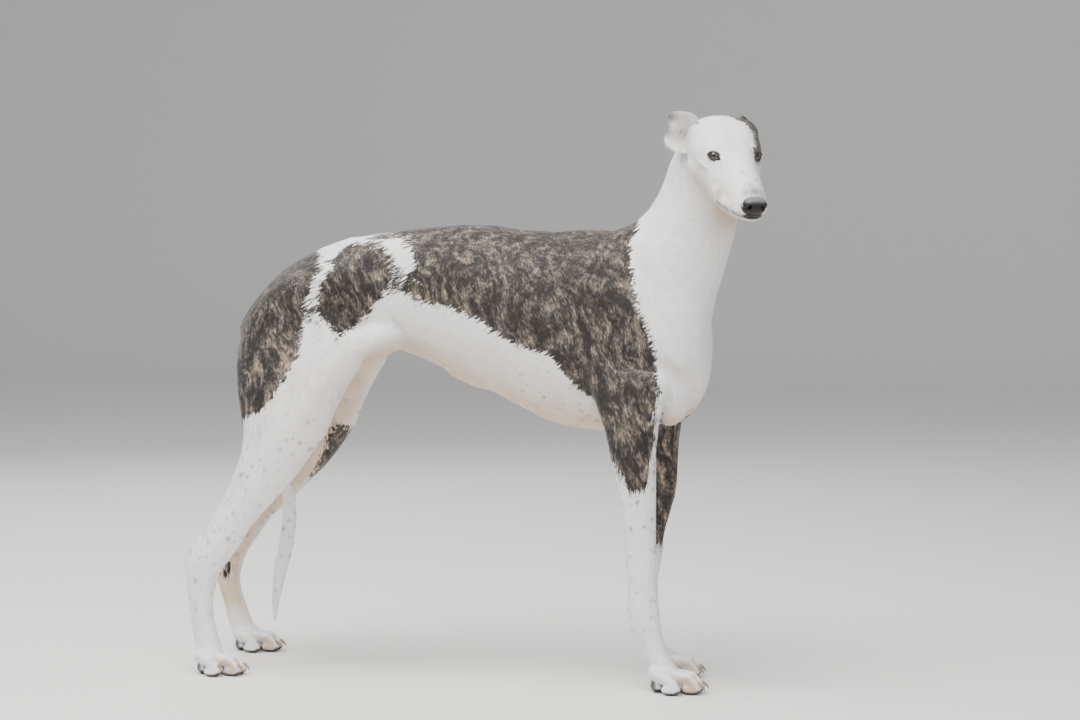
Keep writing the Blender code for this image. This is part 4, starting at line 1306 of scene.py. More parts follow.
# Whiskers, row by row: the root in the head's frame, and the length in millimetres.
WHISKERS = (
    ((0.106, 0.024, -0.04), 14.0), ((0.098, 0.0268, -0.0405), 15.0),
    ((0.088, 0.029, -0.0415), 16.0), ((0.104, 0.025, -0.0445), 14.0),
    ((0.094, 0.0285, -0.0455), 16.0), ((0.083, 0.0305, -0.047), 16.0),
    ((0.11, 0.0215, -0.048), 12.0), ((0.098, 0.027, -0.049), 14.0), ((0.086, 0.03, -0.051), 14.0),
)


def whisker(place, length, side):
    """One bristle that leaves the lip sideways and droops back."""
    root = on_side(place, side)
    way = on_side(WHISKER_WAY, side).normalized()
    points = []
    for step in range(WHISKER_STEPS + 1):
        t = step / WHISKER_STEPS
        bend = WHISKER_DROOP * t * t
        points.append(head_matrix() @ (root - way * 0.0020 + (way * t + bend) * length * MM))
    return tube_from(points, WHISKER_RADIUS, tip=0.25)


whiskers = gathered([whisker(*row, side) for row in WHISKERS for side in (-1, 1)], "whiskers")
print("whiskers:", len(WHISKERS) * 2)

# %% [markdown]
# ## Markings
#
# The dog is white, with dark brindle patches: one on the rump, one on the hip and a
# large saddle that runs down the shoulder. Each patch is an outline seen from the side.
# Every vertex of the skin gets its distance to the nearest outline, and the material
# turns that into a ragged, hairy border. An attribute can be read by the coat too,
# so that each hair has the colour of the skin that it grows from.

# %% Patch outlines
RUMP_PATCH = (
    (-0.482, 0.700), (-0.452, 0.668), (-0.448, 0.650), (-0.459, 0.622), (-0.461, 0.605),
    (-0.466, 0.589), (-0.468, 0.549), (-0.473, 0.517), (-0.488, 0.493), (-0.495, 0.476),
    (-0.507, 0.460), (-0.512, 0.447), (-0.538, 0.426), (-0.560, 0.420), (-0.581, 0.394),
    (-0.630, 0.377), (-0.660, 0.523), (-0.640, 0.604), (-0.580, 0.680), (-0.520, 0.720),
)
HIP_PATCH = (
    (-0.411, 0.697), (-0.391, 0.700), (-0.365, 0.697), (-0.343, 0.694), (-0.338, 0.673),
    (-0.330, 0.639), (-0.334, 0.621), (-0.359, 0.595), (-0.389, 0.566), (-0.414, 0.539),
    (-0.429, 0.558), (-0.446, 0.559), (-0.452, 0.574), (-0.452, 0.593), (-0.445, 0.619),
    (-0.435, 0.638), (-0.427, 0.673),
)
SADDLE_PATCH = (
    (-0.371, 0.777), (-0.368, 0.713), (-0.334, 0.708), (-0.305, 0.707), (-0.289, 0.707),
    (-0.299, 0.683), (-0.288, 0.666), (-0.299, 0.655), (-0.309, 0.639), (-0.309, 0.620),
    (-0.276, 0.603), (-0.243, 0.590), (-0.203, 0.592), (-0.178, 0.572), (-0.146, 0.555),
    (-0.113, 0.535), (-0.073, 0.528), (-0.052, 0.511), (-0.036, 0.475), (-0.001, 0.452),
    (0.016, 0.431), (0.024, 0.392), (0.029, 0.368), (0.044, 0.338), (0.060, 0.314),
    (0.079, 0.310), (0.102, 0.325), (0.105, 0.378), (0.105, 0.409), (0.107, 0.471),
    (0.100, 0.518), (0.095, 0.556), (0.078, 0.587), (0.065, 0.615), (0.060, 0.657),
    (0.057, 0.695), (0.063, 0.728), (0.078, 0.777),
)
LEFT_LEG_PATCH = (
    (0.044, 0.443), (0.143, 0.444), (0.127, 0.379), (0.115, 0.314), (0.103, 0.249),
    (0.085, 0.200), (0.045, 0.199), (0.055, 0.281), (0.050, 0.362),
)
LEFT_STIFLE_PATCH = (
    (-0.470, 0.405), (-0.436, 0.388), (-0.452, 0.343), (-0.490, 0.300), (-0.534, 0.270),
    (-0.525, 0.303), (-0.497, 0.342),
)
LEFT_HOCK_PATCH = ((-0.686, 0.154), (-0.668, 0.152), (-0.672, 0.122), (-0.688, 0.119))
SIDE_PATCHES = (RUMP_PATCH, HIP_PATCH, SADDLE_PATCH)
LEFT_PATCHES = (LEFT_LEG_PATCH, LEFT_STIFLE_PATCH, LEFT_HOCK_PATCH)

# The head's patch round the left eye and ear: along the head, and how far left it starts.
MASK_BORDER = (
    (-0.100, 0.004), (-0.0585, 0.0143), (-0.0523, 0.0320), (-0.0335, 0.0354), (0.0055, 0.0268),
    (0.0226, 0.0244), (0.0300, 0.0340),
)
# Its lower border: along the head, and how high. Its front end is a plain line.
MASK_BOTTOM = ((-0.080, -0.026), (-0.050, -0.020), (-0.012, -0.0095), (0.030, -0.0060))
MASK_FRONT = 0.0275
HEAD_REACH = 0.110


def outline_distance(x, z, outline):
    """Distance to an outline seen from the side: above 0 inside, below 0 outside."""
    nearest = np.full(len(x), np.inf)
    inside = np.zeros(len(x), dtype=bool)
    for (x0, z0), (x1, z1) in zip(outline, outline[1:] + outline[:1]):
        along_x, along_z = x1 - x0, z1 - z0
        share = ((x - x0) * along_x + (z - z0) * along_z) / (along_x ** 2 + along_z ** 2)
        share = np.clip(share, 0.0, 1.0)
        gap = np.hypot(x - x0 - share * along_x, z - z0 - share * along_z)
        nearest = np.minimum(nearest, gap)
        crosses = (z0 > z) != (z1 > z)
        if z1 != z0:
            inside ^= crosses & (x < x0 + along_x * (z - z0) / (z1 - z0))
    return np.where(inside, nearest, -nearest)


def places_in(places, matrix):
    """Places of the dog's frame in the frame that a matrix describes."""
    turn = np.array(matrix.inverted())
    return places @ turn[:3, :3].T + turn[:3, 3]


def in_head(places):
    return places_in(places, head_matrix())


def brindle_depth(places):
    """How far inside a brindle patch every place is, in metres."""
    x, y, z = places.T
    left = step_share(y, -0.010, 0.060)
    side_x = x + left * 0.016 * np.sin(9.0 * z + 2.0 * x)
    side_z = z - left * 0.010 * np.sin(14.0 * x)
    depths = [outline_distance(side_x, side_z, outline) for outline in SIDE_PATCHES]
    only_left = 0.5 * (y - 0.020)
    for outline in LEFT_PATCHES:
        depths.append(np.minimum(outline_distance(x, z, outline), only_left))
    head = in_head(places)
    border = np.interp(head[:, 0], *zip(*MASK_BORDER))
    bottom = np.interp(head[:, 0], *zip(*MASK_BOTTOM))
    mask = [head[:, 1] - border, head[:, 2] - bottom, MASK_FRONT - head[:, 0]]
    mask = np.maximum(np.minimum.reduce(mask), -0.05)
    near_head = gap_to(head, (0.0, 0.0, 0.0)) < HEAD_REACH
    return np.where(near_head, mask, np.maximum.reduce(depths))


print("patches:", [len(outline) for outline in SIDE_PATCHES + LEFT_PATCHES], "points")

# %% [markdown]
# The hair lies along the body: backwards and down on the trunk, down the legs and
# the neck, and from the nose to the ears on the head. The same direction stretches
# the grain of the hair on the skin and lays the tufts.

# %% Hair direction
LEG_TOP = 0.40


def head_share(places):
    """1 on the head, 0 from the neck on."""
    return step_share(0.135 - gap_to(in_head(places), (0.020, 0.0, -0.025)), 0.0, 0.045)


def leg_share(places):
    """1 on the legs, 0 from the elbow and the stifle up."""
    return 1.0 - step_share(places[:, 2], LEG_TOP, LEG_TOP + 0.12)


def neck_share(places):
    """1 on the neck and all above it, 0 on the trunk."""
    return step_share(places[:, 0] * 0.62 + places[:, 2] * 0.78, 0.640, 0.720)


def hair_direction(places, normals):
    """A unit direction in the skin for every place."""
    head_way = np.array(head_matrix().to_3x3() @ Vector((-1.0, 0.0, 0.12)))
    ways = np.tile(np.array((-0.86, 0.0, -0.50)), (len(places), 1))
    for share, way in (
        (neck_share(places), (-0.45, 0.05, -0.90)),
        (leg_share(places), (-0.10, 0.0, -1.0)),
        (head_share(places), head_way),
    ):
        ways = ways * (1.0 - share[:, None]) + np.array(way) * share[:, None]
    ways -= normals * np.einsum("ij,ij->i", ways, normals)[:, None]
    return ways / np.maximum(np.linalg.norm(ways, axis=1), 1e-6)[:, None]


print("hair direction ready")

# %% [markdown]
# More numbers are kept for each vertex: how beige the white is (a beige bloom under
# the jaw, on the belly and inside the thighs: partly thin coat and partly painted shade
# where these face down or in, with painted shade between the toes), how bare and dark
# the skin is (lips, lid surroundings and pads), how grey the top of the muzzle is, how
# ticked with small grey spots, and which grain of hair is used there.

# %% Skin tones
# Soft spots on the head: place in the head's frame, reach and strength. The tan spots
# beside the mouth are the dog's own colour; the others are painted shade under the jaw
# and along the lower cheeks.
TAN_AND_SHADE_SPOTS = (
    ((0.0514, -0.034, -0.0422), 0.008, 1.6), ((0.0514, 0.034, -0.04), 0.006, 0.6),
    ((0.035, -0.04, -0.056), 0.015, 0.4), ((0.03, 0.0, -0.076), 0.03, 0.7),
    ((-0.02, -0.05, -0.05), 0.02, 0.42), ((-0.02, 0.05, -0.05), 0.02, 0.42),
    ((0.06, 0.0, -0.07), 0.03, 0.6), ((-0.089, -0.0539, -0.04), 0.014, 0.45),
)
NOSE_TOP_SPOTS = (
    ((0.108, 0.0, -0.016), 0.01, 1.0), ((0.106, 0.01, -0.018), 0.008, 0.75),
    ((0.106, -0.01, -0.018), 0.008, 0.75), ((0.096, -0.003, -0.01), 0.0075, 0.55),
    ((0.083, 0.006, -0.006), 0.005, 0.22), ((0.073, -0.006, -0.002), 0.0045, 0.2),
    ((0.0396, -0.0313, -0.0243), 0.0035, 0.28), ((0.0305, -0.0209, 0.0013), 0.0016, 0.55),
)


def spots(head, table):
    """The strongest of some soft spots at every place."""
    total = np.zeros(len(head))
    for place, reach, strength in table:
        near = gap_to(head, place) / reach
        total = np.maximum(total, strength * np.exp(-near ** 2))
    return total


def bell(*offsets):
    """1 where all the offsets are 0, falling off like a bell."""
    return np.exp(-sum(offset ** 2 for offset in offsets))


def lip_dark(places, side):
    """The lips' line: strong in front and at the corner of the mouth, faint between."""
    along = in_head(places)[:, 0]
    front = step_share(along, 0.086, 0.100)
    back = 1.0 - step_share(along, 0.082, 0.088)
    path = [set_point("head", side, point) for point in STROKES[0][3]]
    gap = path_distance(places, path) - 0.0015 * back
    return (0.12 + 0.80 * front + 0.83 * back) * bell(gap / 0.0026)


def eye_dark(places, side):
    """A dark band round the slit, and a tear mark at its inner corner."""
    rim = lid_rim(side, EYE_RADIUS + 0.9 * MM)
    gap = path_distance(places, rim + rim[:1])
    tear = gap_to(places, rim[0])
    return np.maximum(0.97 * (1.0 - step_share(gap, 0.0016, 0.0032)), 0.95 * bell(tear / 0.0038))


def in_slit(places, side):
    """Whether each place lies behind the lids, close to the front of the eyeball."""
    centre = np.array(head_matrix() @ on_side(EYE_PLACE, side))
    out = np.array(head_matrix().to_3x3() @ eye_frame(side)[0])
    inside = gap_to(places, centre) < EYE_RADIUS + 0.8 * MM
    return inside & ((places - centre) @ out > 0.0)


def dark_share(places):
    """Lips, the lids' surroundings and the skin under the nose."""
    dark = np.zeros(len(places))
    for side in (-1, 1):
        dark = np.maximum.reduce([dark, lip_dark(places, side), eye_dark(places, side)])
        dark = np.where(in_slit(places, side), 1.0, dark)
    head = in_head(places)
    round_nose = 1.0 - step_share(gap_to(head, NOSE_PLACE, (0.0150, 0.0205, 0.0160)), 0.98, 1.12)
    low = 1.0 - step_share(head[:, 2], NOSE_PLACE.z - 0.006, NOSE_PLACE.z + 0.006)
    under = gap_to(head, (0.113, 0.0, -0.0500), (0.014, 0.0165, 0.0060))
    return np.maximum.reduce([dark, round_nose * low, 1.0 - step_share(under, 0.85, 1.25)])


def pad_share(places, normals):
    """The dark pads: soles, toe tips and the heel pad's back."""
    down = step_share(-normals[:, 2], 0.10, 0.60)
    dark = down * (1.0 - step_share(places[:, 2], 0.010, 0.020))
    for name in PAWS:
        own = places_in(places, paw_matrix(name))
        heel = gap_to(own, (0.0120, 0.0, 0.0100), (0.0150, 0.0200, 0.0115))
        behind = step_share(0.020 - own[:, 0], 0.0, 0.008)
        dark = np.maximum(dark, 0.92 * (1.0 - step_share(heel, 0.85, 1.15)) * behind)
    return dark


def toe_hollow_shade_share(places):
    """Painted shade: 1 in the hollows between the toes of any paw, less at the toes' tips near the
    floor.
    """
    hollow_shade = np.zeros(len(places))
    for name in PAWS:
        x, y, z = places_in(places, paw_matrix(name)).T
        gap = np.minimum.reduce([np.abs(y - spread * 1.02) for spread in TOE_SPREAD])
        inside = step_share(x, 0.024, 0.040) * (1.0 - step_share(x, 0.078, 0.090))
        low = 1.0 - step_share(z, 0.020, 0.034)
        middle = 1.0 - step_share(np.abs(y), 0.018, 0.024)
        between = step_share(gap, 0.0040, 0.0078) * inside * low * middle
        tips = step_share(x, 0.050, 0.066) * (1.0 - step_share(z, 0.010, 0.022))
        near = 1.0 - step_share(np.abs(y), 0.030, 0.040)
        hollow_shade = np.maximum.reduce([hollow_shade, between, 0.55 * tips * near * (x < 0.10)])
    return hollow_shade


def beige_and_shade_share(places, normals):
    """Beige where the coat is thin, and painted shade on the undersides, the inner faces and
    between the toes.
    """
    x, y, z = places.T
    # Painted shade: the belly, the jaw and the throat turn beige where they face down or forward,
    # and the legs where they face in, on top of the thin coat there.
    trunk = step_share(z, 0.30, 0.42) * (1.0 - step_share(x, 0.16, 0.24))
    belly = step_share(-normals[:, 2], 0.15, 0.85) * trunk * 0.85
    hind = np.where(x < -0.3, step_share(z, 0.03, 0.10), step_share(z, 0.25, 0.40))
    inner = step_share(-normals[:, 1] * np.sign(y), 0.10, 0.80) * hind
    groin = bell((x + 0.43) / 0.10, (z - 0.44) / 0.09, y / 0.09) * 0.9
    head = in_head(places)
    near_head = head_share(places)
    chin = near_head * spots(head, TAN_AND_SHADE_SPOTS) * 1.25
    jaw = near_head * step_share(-normals[:, 2], -0.15, 0.55) * 0.60
    near_throat = 1.0 - step_share(gap_to(head, (-0.010, 0.0, -0.105)), 0.030, 0.110)
    throat = neck_share(places) * (0.18 + 0.95 * near_throat)
    throat *= step_share(normals[:, 0] - normals[:, 2] * 0.4, 0.0, 0.8)
    # Painted shade between the toes and at their tips near the floor.
    toes = 1.15 * toe_hollow_shade_share(places)
    parts = [belly, inner * (1.0 - near_head), groin, chin, jaw, throat, toes]
    return np.clip(np.maximum.reduce(parts), 0.0, 1.0)


def tick_share(places):
    """Where small grey spots show through the white."""
    x, z = places[:, 0], places[:, 2]
    legs = (1.0 - step_share(z, 0.40, 0.50)) * step_share(z, 0.06, 0.14)
    side = bell((x + 0.09) / 0.07, (z - 0.46) / 0.05) * 1.1
    along, out, up = in_head(places).T
    near_head = head_share(places)
    muzzle = bell((along - 0.080) / 0.035, out / 0.028) * near_head * 0.9
    lip = bell((along - 0.088) / 0.020, (up + 0.046) / 0.007) * 0.8 * near_head
    everywhere = np.full(len(x), 0.16)
    return np.clip(np.maximum.reduce([legs, side, muzzle, lip, everywhere]), 0.0, 1.0)


def store(mesh, name, values):
    """Keep one number or one vector for every vertex."""
    values = np.asarray(values, dtype=np.float32)
    kind = "FLOAT" if values.ndim == 1 else "FLOAT_VECTOR"
    layer = mesh.attributes.new(name, kind, "POINT")
    layer.data.foreach_set("value" if kind == "FLOAT" else "vector", values.ravel())


def skin_values(places, normals):
    """Every value that the coat's material reads, for some places on the skin."""
    regions = [head_share(places), leg_share(places), neck_share(places)]
    return {
        "brindle": brindle_depth(places),
        "beige_and_shade": beige_and_shade_share(places, normals),
        "bare_and_shade": np.maximum(dark_share(places), pad_share(places, normals)),
        "grey": regions[0] * spots(in_head(places), NOSE_TOP_SPOTS),
        "tick": tick_share(places),
        "regions": np.stack(regions, axis=1),
    }


def surface(made):
    """An object's vertex places and normals, in double precision."""
    return read_places(made.data).astype(np.float64), read_normals(made.data).astype(np.float64)


for value_name, values in skin_values(*surface(skin)).items():
    store(skin.data, value_name, values)
    print(value_name, "from", round(float(values.min()), 3), "to", round(float(values.max()), 3))

# %% [markdown]
# ## Coat material
#
# Short fur is mostly fine grain: many thin parallel hairs that all lie one way. The
# grain is noise that is stretched along the hair, once for each region, because the
# hair runs differently on the trunk, the neck, the legs and the head. It is a node
# group, since the skin and the coat both use it.

# %% Node helpers
def feed(tree, value, socket):
    """Lead another node's output into a socket, or set it to a plain value."""
    if isinstance(value, bpy.types.NodeSocket):
        tree.links.new(value, socket)
    elif socket.type == "RGBA":
        socket.default_value = (*value, 1.0)
    else:
        socket.default_value = value


def feed_all(tree, node, inputs):
    """Feed several inputs of a node, by name or number."""
    for key, value in inputs.items():
        feed(tree, value, node.inputs[key])


def add_node(tree, kind, inputs=None, **settings):
    """A node with its settings and its inputs."""
    node = tree.nodes.new(kind)
    for key, value in settings.items():
        setattr(node, key, value)
    feed_all(tree, node, inputs or {})
    return node


def maths(tree, operation, *values, clamp=False):
    """A Math node fed by sockets or numbers."""
    inputs = dict(enumerate(values))
    node = add_node(tree, "ShaderNodeMath", inputs, operation=operation, use_clamp=clamp)
    return node.outputs[0]


def times(tree, first, second, clamp=False):
    return maths(tree, "MULTIPLY", first, second, clamp=clamp)


def plus(tree, first, second):
    return maths(tree, "ADD", first, second)


def centred(tree, noise, reach):
    """Noise round 0 instead of a half, as far as a reach either way."""
    return times(tree, maths(tree, "SUBTRACT", noise, 0.5), reach)


def soft_step(tree, value, low, high):
    """0 below low, 1 above high."""
    inputs = {"Value": value, "From Min": low, "From Max": high}
    node = add_node(tree, "ShaderNodeMapRange", inputs, interpolation_type="SMOOTHSTEP")
    return node.outputs["Result"]


def mix_colours(tree, share, first, second):
    """Mix two colours, each a socket or a plain colour."""
    inputs = {0: share, 6: first, 7: second}
    return add_node(tree, "ShaderNodeMix", inputs, data_type="RGBA").outputs[2]


def attribute(tree, name, output="Fac"):
    node = add_node(tree, "ShaderNodeAttribute", attribute_type="GEOMETRY", attribute_name=name)
    return node.outputs[output]


def object_place(tree):
    return add_node(tree, "ShaderNodeTexCoord").outputs["Object"]


def nudged_place(tree, x, z=0.0):
    """The place on the object, moved by values along X and Z."""
    shift = add_node(tree, "ShaderNodeCombineXYZ", {0: x, 2: z})
    inputs = {0: object_place(tree), 1: shift.outputs[0]}
    return add_node(tree, "ShaderNodeVectorMath", inputs, operation="ADD").outputs[0]


def noise_along(tree, turn, sizes, detail, source=None):
    """Noise stretched along a turned X axis; sizes are in metres."""
    source = object_place(tree) if source is None else source
    inputs = {"Vector": source, "Rotation": turn, "Scale": sizes}
    place = add_node(tree, "ShaderNodeMapping", inputs, vector_type="TEXTURE")
    inputs = {"Vector": place.outputs["Vector"], "Scale": 1.0, "Detail": detail}
    return add_node(tree, "ShaderNodeTexNoise", inputs).outputs["Fac"]


def cells_in(tree, place, scale):
    """Round cells, as a Voronoi texture has them."""
    return add_node(tree, "ShaderNodeTexVoronoi", {"Vector": place, "Scale": scale}, feature="F1")


def new_group(name, outputs):
    """An empty shader group with named outputs."""
    tree = bpy.data.node_groups.new(name, "ShaderNodeTree")
    for label, kind in outputs:
        tree.interface.new_socket(name=label, in_out="OUTPUT", socket_type=kind)
    return tree, tree.nodes.new("NodeGroupOutput")


NO_TURN = (0.0, 0.0, 0.0)
TRUNK_TURN = (0.0, math.radians(-30.0), 0.0)
NECK_TURN = (0.0, math.radians(-63.0), 0.0)
LEG_TURN = (0.0, math.radians(-85.0), 0.0)
HEAD_TURN = (0.0, HEAD_PITCH, HEAD_YAW)
print("node helpers ready")

# %% Hair grain group
# Grain: output, sizes along and across the hair, the same on the head, and detail.
GRAIN = (
    ("Strands", (0.0090, 0.0006, 0.0006), (0.0050, 0.0005, 0.0005), 2.0),
    ("Clumps", (0.0260, 0.0034, 0.0034), (0.0120, 0.0022, 0.0022), 2.5),
)


def by_region(tree, trunk, neck, leg, head):
    """Blend four values by the regions stored on the skin."""
    regions = attribute(tree, "regions", "Vector")
    parts = add_node(tree, "ShaderNodeSeparateXYZ", {0: regions}).outputs
    value = trunk
    for share, other in ((parts[2], neck), (parts[1], leg), (parts[0], head)):
        inputs = {0: share, 2: value, 3: other}
        value = add_node(tree, "ShaderNodeMix", inputs, data_type="FLOAT").outputs[0]
    return value


def build_hair_grain():
    tree, out = new_group("hair_grain", [(row[0], "NodeSocketFloat") for row in GRAIN])
    for label, sizes, head_sizes, detail in GRAIN:
        turns = (TRUNK_TURN, NECK_TURN, LEG_TURN)
        fields = [noise_along(tree, turn, sizes, detail) for turn in turns]
        fields.append(noise_along(tree, HEAD_TURN, head_sizes, detail))
        feed(tree, by_region(tree, *fields), out.inputs[label])
    return tree


hair_grain = build_hair_grain()
print("hair grain:", len(hair_grain.nodes), "nodes")

# %% [markdown]
# Brindle is a dark coat with broken, lighter streaks that run down the sides and lean
# a little. Wide streaks are broken up by a second noise, and a fine pepper of light
# hairs lies over everything. The average is a dark brown, and the lightest streaks
# are tan.

# %% Brindle group
STREAK_TURN = (0.0, math.radians(-107.0), 0.0)
BREAK_TURN = (0.0, 0.3, 0.0)
# From the darkest hair to the lightest: place on the ramp and colour.
BRINDLE_RAMP = (
    (0.18, (0.018, 0.014, 0.012)),
    (0.38, (0.045, 0.037, 0.031)),
    (0.56, (0.105, 0.086, 0.070)),
    (0.76, (0.225, 0.175, 0.130)),
    (0.98, (0.54, 0.40, 0.27)),
)


def build_brindle():
    tree, out = new_group("brindle_hair", (("Color", "NodeSocketColor"),))
    strands = add_node(tree, "ShaderNodeGroup", node_tree=hair_grain).outputs["Strands"]
    warp = noise_along(tree, NO_TURN, (0.060, 0.060, 0.060), 1.0)
    moved = nudged_place(tree, centred(tree, warp, 0.060))
    wide = noise_along(tree, STREAK_TURN, (0.042, 0.0065, 0.0100), 3.0, moved)
    broken = noise_along(tree, BREAK_TURN, (0.026, 0.022, 0.026), 2.0)
    pepper = noise_along(tree, STREAK_TURN, (0.0070, 0.0024, 0.0024), 3.0)
    value = times(tree, wide, 1.05)
    for field, weight in ((broken, 0.46), (pepper, 0.85), (strands, 0.20)):
        value = plus(tree, value, times(tree, field, weight))
    ramp = add_node(tree, "ShaderNodeValToRGB", {"Fac": soft_step(tree, value, 0.88, 1.83)})
    stops = ramp.color_ramp.elements
    stops[0].position = BRINDLE_RAMP[0][0]
    stops[1].position = BRINDLE_RAMP[-1][0]
    for position, colour in BRINDLE_RAMP[1:-1]:
        stops.new(position)
    for stop, (position, colour) in zip(stops, BRINDLE_RAMP):
        stop.color = (*colour, 1.0)
    feed(tree, ramp.outputs["Color"], out.inputs["Color"])
    return tree


brindle_hair = build_brindle()
print("brindle:", len(brindle_hair.nodes), "nodes")

# %% [markdown]
# All the colours of the coat come together in one group: white with a beige bloom that
# is partly painted shade, painted shade between the clumps of hair, small grey ticks,
# the grey top of the nose, the brindle inside its ragged border, and bare black skin at
# the lips, the lids and the pads, which also paints the shade in the right ear's fold.
# It also puts out that mask, because bare skin is smoother than hair.

# %% Coat colours group
WHITE_HAIR = (0.860, 0.860, 0.855)
CLOUDY_WHITE = (0.70, 0.67, 0.63)
# A grey painted as shade between the clumps of hair.
HOLLOW_SHADE_WHITE = (0.52, 0.49, 0.46)
# The beige of thin coat, which also paints shade on the undersides and between the toes.
BEIGE_HAIR_AND_SHADE = (0.610, 0.450, 0.310)
TICK_GREY = (0.230, 0.215, 0.205)
MUZZLE_GREY = (0.185, 0.180, 0.175)
# Black of bare skin, also used as painted shade in the right ear's fold.
BARE_SKIN_AND_SHADE = (0.020, 0.017, 0.016)


def tick_field(tree, strands, clumps):
    """Spots of many sizes with hairy edges; most are too small to show."""
    place = nudged_place(tree, times(tree, strands, 0.012), times(tree, clumps, 0.016))
    cells = cells_in(tree, place, 88.0).outputs
    size = add_node(tree, "ShaderNodeSeparateColor", {0: cells["Color"]}).outputs[0]
    reach = times(tree, maths(tree, "POWER", size, 2.0), 0.46)
    depth = maths(tree, "SUBTRACT", reach, cells["Distance"])
    spot = times(tree, soft_step(tree, depth, -0.16, 0.14), attribute(tree, "tick"))
    return times(tree, spot, soft_step(tree, strands, 0.34, 0.62))


def build_coat_colours():
    tree, out = new_group("coat_colours", (
        ("Color", "NodeSocketColor"), ("Bare_and_shade", "NodeSocketFloat"), ("Height", "NodeSocketFloat"),
    ))
    grain = add_node(tree, "ShaderNodeGroup", node_tree=hair_grain).outputs
    strands, clumps = grain["Strands"], grain["Clumps"]
    cloudy = noise_along(tree, NO_TURN, (0.045, 0.045, 0.045), 3.0)
    # Painted shade between the clumps of hair.
    hollow_shade = times(tree, soft_step(tree, clumps, 0.42, 0.70), 0.10)
    bloom = plus(tree, times(tree, cloudy, 0.9), 0.45)
    # The beige bloom: partly thin coat, partly painted shade.
    beige_and_shade = times(tree, attribute(tree, "beige_and_shade"), bloom, clamp=True)
    tick = times(tree, tick_field(tree, strands, clumps), 0.90)
    grey = times(tree, attribute(tree, "grey"), plus(tree, clumps, 0.42), clamp=True)
    colour = WHITE_HAIR
    for share, other in (
        (times(tree, cloudy, 0.22), CLOUDY_WHITE), (hollow_shade, HOLLOW_SHADE_WHITE), (beige_and_shade, BEIGE_HAIR_AND_SHADE),
        (tick, TICK_GREY), (grey, MUZZLE_GREY),
    ):
        colour = mix_colours(tree, share, colour, other)
    ragged = attribute(tree, "brindle")
    for field, reach in ((clumps, 0.030), (strands, 0.008), (cloudy, 0.016)):
        ragged = plus(tree, ragged, centred(tree, field, reach))
    brindle = add_node(tree, "ShaderNodeGroup", node_tree=brindle_hair).outputs["Color"]
    colour = mix_colours(tree, soft_step(tree, ragged, -0.0012, 0.0022), colour, brindle)
    bare_and_shade = times(tree, attribute(tree, "bare_and_shade"), 1.0, clamp=True)
    feed_all(tree, out, {
        "Color": mix_colours(tree, bare_and_shade, colour, BARE_SKIN_AND_SHADE),
        "Bare_and_shade": bare_and_shade,
        "Height": plus(tree, strands, times(tree, clumps, 1.6)),
    })
    return tree


coat_colours = build_coat_colours()
print("coat colours:", len(coat_colours.nodes), "nodes")

# %% Coat materials
def start_material(name, colour, roughness):
    """A plain material, its node tree and its shader."""
    material = plain_material(name, colour, roughness)
    return material, material.node_tree, material.node_tree.nodes["Principled BSDF"]


def add_relief(tree, shader, height, strength, distance, invert=False):
    """Bump from a height, led into the shader's normal."""
    inputs = {"Strength": strength, "Distance": distance, "Height": height}
    relief = add_node(tree, "ShaderNodeBump", inputs, invert=invert)
    feed(tree, relief.outputs["Normal"], shader.inputs["Normal"])


def coat_material(name, bump):
    """The short coat: rough hair with a soft sheen, smoother where the skin is bare and in the
    painted shade of the right ear's fold.
    """
    material, tree, shader = start_material(name, WHITE_HAIR, 0.6)
    coat = add_node(tree, "ShaderNodeGroup", node_tree=coat_colours).outputs
    feed_all(tree, shader, {
        "Base Color": coat["Color"],
        "Roughness": maths(tree, "SUBTRACT", 0.62, times(tree, coat["Bare_and_shade"], 0.22)),
        "Sheen Weight": 0.12,
        "Sheen Roughness": 0.5,
        "Specular IOR Level": 0.30,
    })
    add_relief(tree, shader, coat["Height"], bump, 0.0006)
    return material


skin_material = coat_material("short_coat", 0.75)
tuft_material = coat_material("coat_hair", 0.15)
print("coat materials ready")

# %% [markdown]
# ## Nose, eye, horn and bristle
#
# The nose leather is pebbled like fine morocco, black in front and grey on top. The
# eye has a dark brown iris with fine spokes, a black pupil and a clear cornea, which
# is a clear coat on the shader.

# %% Nose leather
def nose_material():
    material, tree, shader = start_material("pebbled_leather", (0.02, 0.018, 0.018), 0.42)
    pebbles = cells_in(tree, object_place(tree), 640.0).outputs["Distance"]
    cloudy = noise_along(tree, NO_TURN, (0.006, 0.006, 0.006), 3.0)
    top = times(tree, attribute(tree, "grey"), plus(tree, cloudy, 0.50), clamp=True)
    # Painted shade: the leather is darker in the grooves between the pebbles.
    dark = mix_colours(tree, pebbles, (0.014, 0.012, 0.012), (0.003, 0.003, 0.003))
    rough = plus(tree, times(tree, cloudy, 0.22), 0.34)
    feed_all(tree, shader, {
        "Base Color": mix_colours(tree, top, dark, (0.170, 0.165, 0.160)),
        "Roughness": plus(tree, rough, times(tree, top, 0.25)),
        "Specular IOR Level": 0.35,
    })
    add_relief(tree, shader, pebbles, 0.7, 0.0005, invert=True)
    return material


nose.data.materials.append(nose_material())
nose_places = in_head(read_places(nose.data).astype(np.float64))
nose_top = step_share(nose_places[:, 2] - NOSE_PLACE.z, 0.0045, 0.0115)
nose_back = 1.0 - step_share(nose_places[:, 0] - NOSE_PLACE.x, 0.0075, 0.0125) * 0.8
store(nose.data, "grey", nose_top * nose_back)
print("nose grey on", int((nose_top > 0.5).sum()), "vertices")

# %% Eye
# Rings of the eye, from the middle outwards, as shares of its radius.
PUPIL_EDGE = (0.25, 0.29)
IRIS_RING = (0.48, 0.64)
IRIS_EDGE = (0.66, 0.72)
WHITE_EDGE = (0.70, 0.95)


